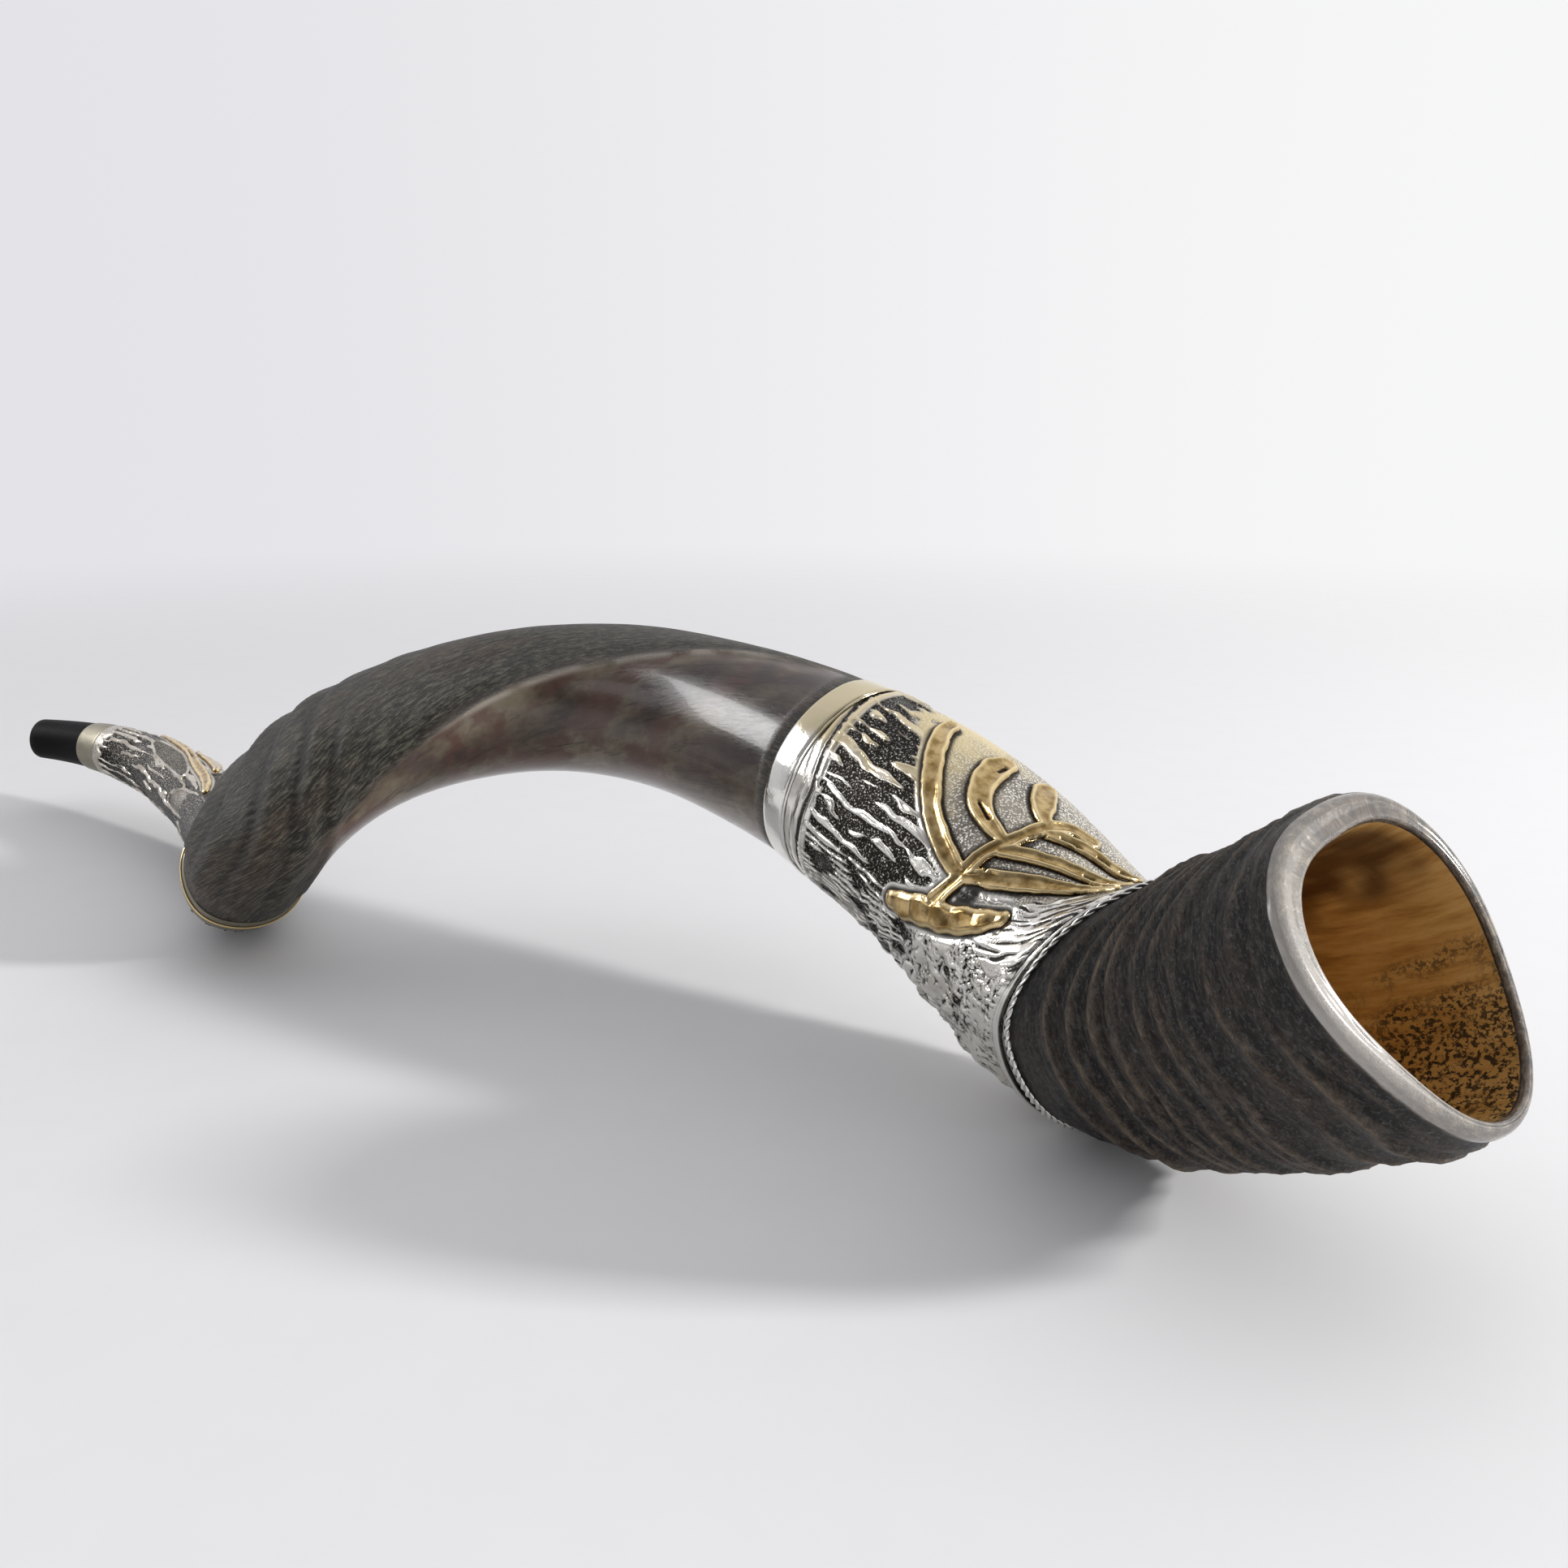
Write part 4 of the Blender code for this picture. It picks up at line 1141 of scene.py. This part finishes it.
def pocket_shade(s, v):
    """Painted shade beside the branches and under the stem's foot; no hollows are pressed there."""
    pockets = (
        ((671, 16, 1.0), (669, 2, 1.8), (668, -4, 2.2)),
        ((718, 62, 2.0), (720, 57, 2.4)),
    )
    return smooth(-strip_distance(s, v, pockets, LAMP_RADIUS), -0.8, 0.6)


MOUTH_SLEEVE_COLUMNS = 300
MOUTH_SLEEVE_OUTER_ROWS = 300
MOUTH_FIELD = (((112, 6, 2.0), (126, 14, 4.4), (140, 17, 4.8), (155, 22, 3.4), (166, 28, 1.2)),)
MOUTH_LOZENGE = (((172, 70, 2.0), (183, 62, 5.0), (199, 54, 5.5), (212, 38, 2.0)),)


def make_mouth_sleeve(material):
    """Long wavy bark ridges, a smooth sunk field beside the gilt stem, and a lozenge."""
    start = MOUTH_SLEEVE_START + (MOUTH_SLEEVE_END - MOUTH_SLEEVE_START) / 16
    rows = np.linspace(start, MOUTH_SLEEVE_END - (start - MOUTH_SLEEVE_START), MOUTH_SLEEVE_OUTER_ROWS)
    angles = even_angles(MOUTH_SLEEVE_COLUMNS)
    d, a = np.meshgrid(rows, angles, indexing="ij")
    s = slanted(d, a)
    spot = x, y, z = straightened(s, a)
    v = across(turn_between(a, 0), MOUTH_GILT_RADIUS)
    height = fingers(s, a, 22, 0.0, 24, 171)
    start_line = 65 + 6 * lattice_noise(x / 5, y / 5, 0 * z, 173)
    gap = smooth(s, start_line, start_line + 4)
    height = height * gap + 0.8 * (1 - gap)
    hollow = strip_distance(s, v, MOUTH_FIELD, MOUTH_GILT_RADIUS)
    sunk = 1 - smooth(hollow, -0.3, 0.8)
    lip = hill(hollow - 1.2, 0.7)
    lozenge = strip_distance(s, v, MOUTH_LOZENGE, MOUTH_GILT_RADIUS)
    flat = 1 - smooth(lozenge, -0.4, 0.6)
    rim = hill(lozenge - 1.0, 0.7)
    height = np.maximum(height * (1 - sunk) * (1 - flat) + 0.25 * sunk + 0.35 * flat, np.maximum(lip, rim))
    motif = strip_distance(s, v, MOUTH_STEM + MOUTH_LEAF, MOUTH_GILT_RADIUS)
    near = 1 - smooth(motif, 0.8, 2.2)
    height = height * (1 - near) + 0.6 * near
    top = SLEEVE_LIFT + 1.25 * (height - 0.62) + 0.12 * ripple(spot, 6, 8, 181)
    attributes = {
        "relief": np.clip(height, 0, 1),
        "field": 0.8 * sunk + 0.5 * (1 - gap),
        "stain_and_painted_shade": np.clip(0.6 * hill(np.clip(motif, 0, None), 0.6) + 0.55 * sunk, 0, 1),
        "gilded": 0 * s,
    }
    mesh = sleeve_mesh("mouthpiece_sleeve_embossed", rows, angles, top, attributes)
    return add_piece("mouthpiece_sleeve_embossed", mesh, [material], "embossed_silver", "mouthpiece_sleeve")


# ---------------------------------------------------------------- the object
TIP = tip_material()
BARE = horn_material()
BELL = bell_material()
HOLLOW = hollow_material()
BELL_SILVER = embossed_silver("bell_sleeve_silver", (0.84, 0.82, 0.77), (0.62, 0.59, 0.53))
MOUTH_SILVER = embossed_silver("mouthpiece_sleeve_silver", (0.62, 0.575, 0.50), (0.40, 0.36, 0.29))
BRIGHT = polished_silver("bright_silver")
BAND_SILVER = polished_silver("worn_silver", (0.27, 0.25, 0.195), (0.36, 0.6))
GILT_WIRE = polished_silver("gilt_wire", (0.88, 0.66, 0.33), (0.1, 0.2))
GILT = gilt_material()

make_horn([TIP, BARE, BELL, HOLLOW])
make_bell_sleeve(BELL_SILVER)
make_mouth_sleeve(MOUTH_SILVER)
BAND_GAP = 0.3
BELL_BAND_END = BELL_SLEEVE_START + (BELL_SLEEVE_END - BELL_SLEEVE_START) / 12 - BAND_GAP
MOUTH_BAND = (MOUTH_SLEEVE_END - MOUTH_SLEEVE_START) / 16
# Name, node, profile, columns, material, slot, unevenness in mm and share of gilding.
RINGS = (
    ("bell_upper_band", "bell_sleeve_upper_band", band_profile(BELL_SLEEVE_START, BELL_BAND_END),
     260, BRIGHT, "plain_silver", 0.05, 1.0),
    ("mouthpiece_tip_band", "mouthpiece_sleeve_tip_band",
     band_profile(MOUTH_SLEEVE_START, MOUTH_SLEEVE_START + MOUTH_BAND - BAND_GAP),
     160, BAND_SILVER, "plain_silver", 0.10, 0.0),
    ("mouthpiece_lower_band", "mouthpiece_sleeve_lower_band",
     band_profile(MOUTH_SLEEVE_END - MOUTH_BAND + BAND_GAP, MOUTH_SLEEVE_END, 0.45),
     200, BAND_SILVER, "plain_silver", 0.08, 0.0),
    ("bell_upper_wire", "bell_sleeve_upper_wire",
     wire_profile(BELL_BAND_END + 1.4, SLEEVE_LIFT + 0.12, 0.55), 300, BRIGHT, "plain_silver", 0.1, 1.0),
    ("bell_lower_wire", "bell_sleeve_lower_wire",
     wire_profile(BELL_SLEEVE_END - 2.6, SLEEVE_LIFT + 0.35, 0.6), 320, BRIGHT, "plain_silver", 0.05, 0.0),
    ("mouthpiece_gilt_wire", "mouthpiece_sleeve_gilt_wire",
     wire_profile(MOUTH_SLEEVE_END - 3, SLEEVE_LIFT + 0.15, 0.55), 240, GILT_WIRE, "gilt", 0.0, 0.0),
)
for ring in RINGS:
    ring_piece(*ring)
make_rope("bell_rope_edge", BELL_SLEEVE_END + 1.9, 0.75, BRIGHT, "bell_sleeve_rope_edge")
LAMPSTAND_NODES = ["lampstand_base", "lampstand_stem"]
for side in ("left", "right"):
    for rank in ("outer", "middle", "inner"):
        LAMPSTAND_NODES.append(f"lampstand_{side}_{rank}_branch")
make_gilt("lampstand", LAMP_STRIPS, LAMP_HOLES, LAMP_RADIUS, LAMP_BASE, LAMPSTAND_NODES)
for kind, strips, holes in (("stem", MOUTH_STEM, MOUTH_STEM_HOLES), ("leaf", MOUTH_LEAF, ())):
    cad_node = f"mouthpiece_sleeve_gilt_{kind}"
    make_gilt(f"mouthpiece_{kind}", strips, holes, MOUTH_GILT_RADIUS, nodes=[cad_node])

RESIN = adhesive_material()
for name in ("bell_sleeve_adhesive", "mouthpiece_sleeve_adhesive"):
    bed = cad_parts[name]
    bed.data.materials.clear()
    bed.data.materials.append(RESIN)


# ---------------------------------------------------------------- floor, light and camera
FLOOR_RADIUS = 2.0
FLOOR_SIDES = 96
FLOOR_SOLID = 0.35
KEY_TURN, KEY_RISE, KEY_AWAY, KEY_SIZE, KEY_POWER = 26.0, 21.5, 2.6, 0.24, 58.0
LIGHTS_AIM = Vector((0.05, 0.0, 0.06))
CAMERA_PLACE = (0.44504, -0.36295, 0.22362)
CAMERA_RIGHT = (0.7807, 0.6249, 0.0)
CAMERA_UP = (-0.1611, 0.2012, 0.9662)
CAMERA_LENS = 32.75
SENSOR_WIDTH = 36.0
BACKDROP_LEFT = (0.775, 0.770, 0.805, 1.0)
BACKDROP_RIGHT = (0.93, 0.93, 0.935, 1.0)
BRIGHT_SIDE = (-0.62, 0.78, 0.15)
ROOM_DIM = 0.36
ROOM_BRIGHT = 1.15


def toward(turn, rise, away):
    """A place seen from the object's middle at a turn from +X, a rise and a distance."""
    turn, rise = math.radians(turn), math.radians(rise)
    return Vector((math.cos(rise) * math.cos(turn), math.cos(rise) * math.sin(turn), math.sin(rise))) * away


def area_light(name, turn, rise, away, width, height, power, color=(1.0, 1.0, 1.0)):
    data = bpy.data.lights.new(name, "AREA")
    data.shape = "RECTANGLE"
    data.size, data.size_y = width, height
    data.energy = power
    data.color = color
    light = bpy.data.objects.new(name, data)
    light.location = toward(turn, rise, away) + LIGHTS_AIM
    light.rotation_euler = (LIGHTS_AIM - light.location).to_track_quat("-Z", "Y").to_euler()
    bpy.context.scene.collection.objects.link(light)
    return light


def floor_material():
    """Plain pale board that fades out into the backdrop far from the object."""
    s = Shader("pale_floor")
    place_of = s.node("TexCoord").outputs["Object"]
    away = s.node("VectorMath", {0: place_of}, operation="LENGTH").outputs["Value"]
    solid = s.span(away, FLOOR_SOLID, FLOOR_RADIUS * 0.95, 1.0, 0.0)
    mottle = s.noise(place_of, 40.0, 6.0)
    color = s.mix(mottle, (0.80, 0.80, 0.815), (0.83, 0.83, 0.84))
    return s.finish(Base_Color=color, Roughness=0.75, Specular_IOR_Level=0.2, Alpha=solid)


def make_floor():
    turns = np.linspace(0, 2 * np.pi, FLOOR_SIDES + 1)[:-1]
    edge = [(FLOOR_RADIUS * math.cos(t), FLOOR_RADIUS * math.sin(t), 0.0) for t in turns]
    mesh = bpy.data.meshes.new("floor")
    mesh.from_pydata(edge, [], [range(FLOOR_SIDES)])
    floor = bpy.data.objects.new("floor", mesh)
    mesh.materials.append(floor_material())
    bpy.context.scene.collection.objects.link(floor)


def make_world():
    """A pale backdrop, a little darker to the left; the room behind the camera is dimmer."""
    world = bpy.data.worlds.new("studio")
    bpy.context.scene.world = world
    world.use_nodes = True
    nodes, links = world.node_tree.nodes, world.node_tree.links
    background = nodes["Background"]
    direction = nodes.new("ShaderNodeTexCoord").outputs["Generated"]

    def along(axis, low, high, start, end):
        dot = nodes.new("ShaderNodeVectorMath")
        dot.operation = "DOT_PRODUCT"
        dot.inputs[1].default_value = axis
        links.new(direction, dot.inputs[0])
        span = nodes.new("ShaderNodeMapRange")
        span.interpolation_type = "SMOOTHSTEP"
        links.new(dot.outputs["Value"], span.inputs["Value"])
        for key, value in (("From Min", low), ("From Max", high), ("To Min", start), ("To Max", end)):
            span.inputs[key].default_value = value
        return span.outputs["Result"]

    def blend(share, a, b, kind):
        mix = nodes.new("ShaderNodeMix")
        mix.data_type = kind
        first = 2 if kind == "FLOAT" else 6
        for socket, value in ((0, share), (first, a), (first + 1, b)):
            if isinstance(value, bpy.types.NodeSocket):
                links.new(value, mix.inputs[socket])
            else:
                mix.inputs[socket].default_value = value
        return mix.outputs[0 if kind == "FLOAT" else 2]

    side = along(CAMERA_RIGHT, -0.5, 0.5, 0.0, 1.0)
    tone = blend(side, BACKDROP_LEFT, BACKDROP_RIGHT, "RGBA")
    links.new(tone, background.inputs["Color"])
    seen = nodes.new("ShaderNodeLightPath").outputs["Is Camera Ray"]
    room = along(BRIGHT_SIDE, -0.5, 0.75, ROOM_DIM, ROOM_BRIGHT)
    links.new(blend(seen, room, 1.0, "FLOAT"), background.inputs["Strength"])


def make_camera():
    data = bpy.data.cameras.new("camera")
    data.lens = CAMERA_LENS
    data.sensor_width = SENSOR_WIDTH
    data.clip_start = 0.01
    camera = bpy.data.objects.new("camera", data)
    right = Vector(CAMERA_RIGHT).normalized()
    back = right.cross(Vector(CAMERA_UP)).normalized()
    up = back.cross(right)
    turn = Matrix((right, up, back)).transposed()
    camera.matrix_world = Matrix.Translation(CAMERA_PLACE) @ turn.to_4x4()
    bpy.context.scene.collection.objects.link(camera)
    bpy.context.scene.camera = camera


make_floor()
make_world()
make_camera()
area_light("key", KEY_TURN, KEY_RISE, KEY_AWAY, KEY_SIZE, KEY_SIZE, KEY_POWER, (1.0, 0.985, 0.96))
softbox = area_light("softbox", -150.0, 35.0, 1.2, 0.5, 0.6, 9.0)
softbox.visible_diffuse = False
area_light("side_panel", -108.0, 22.0, 1.4, 0.9, 0.35, 0.9)
bpy.context.scene.view_settings.view_transform = "Standard"
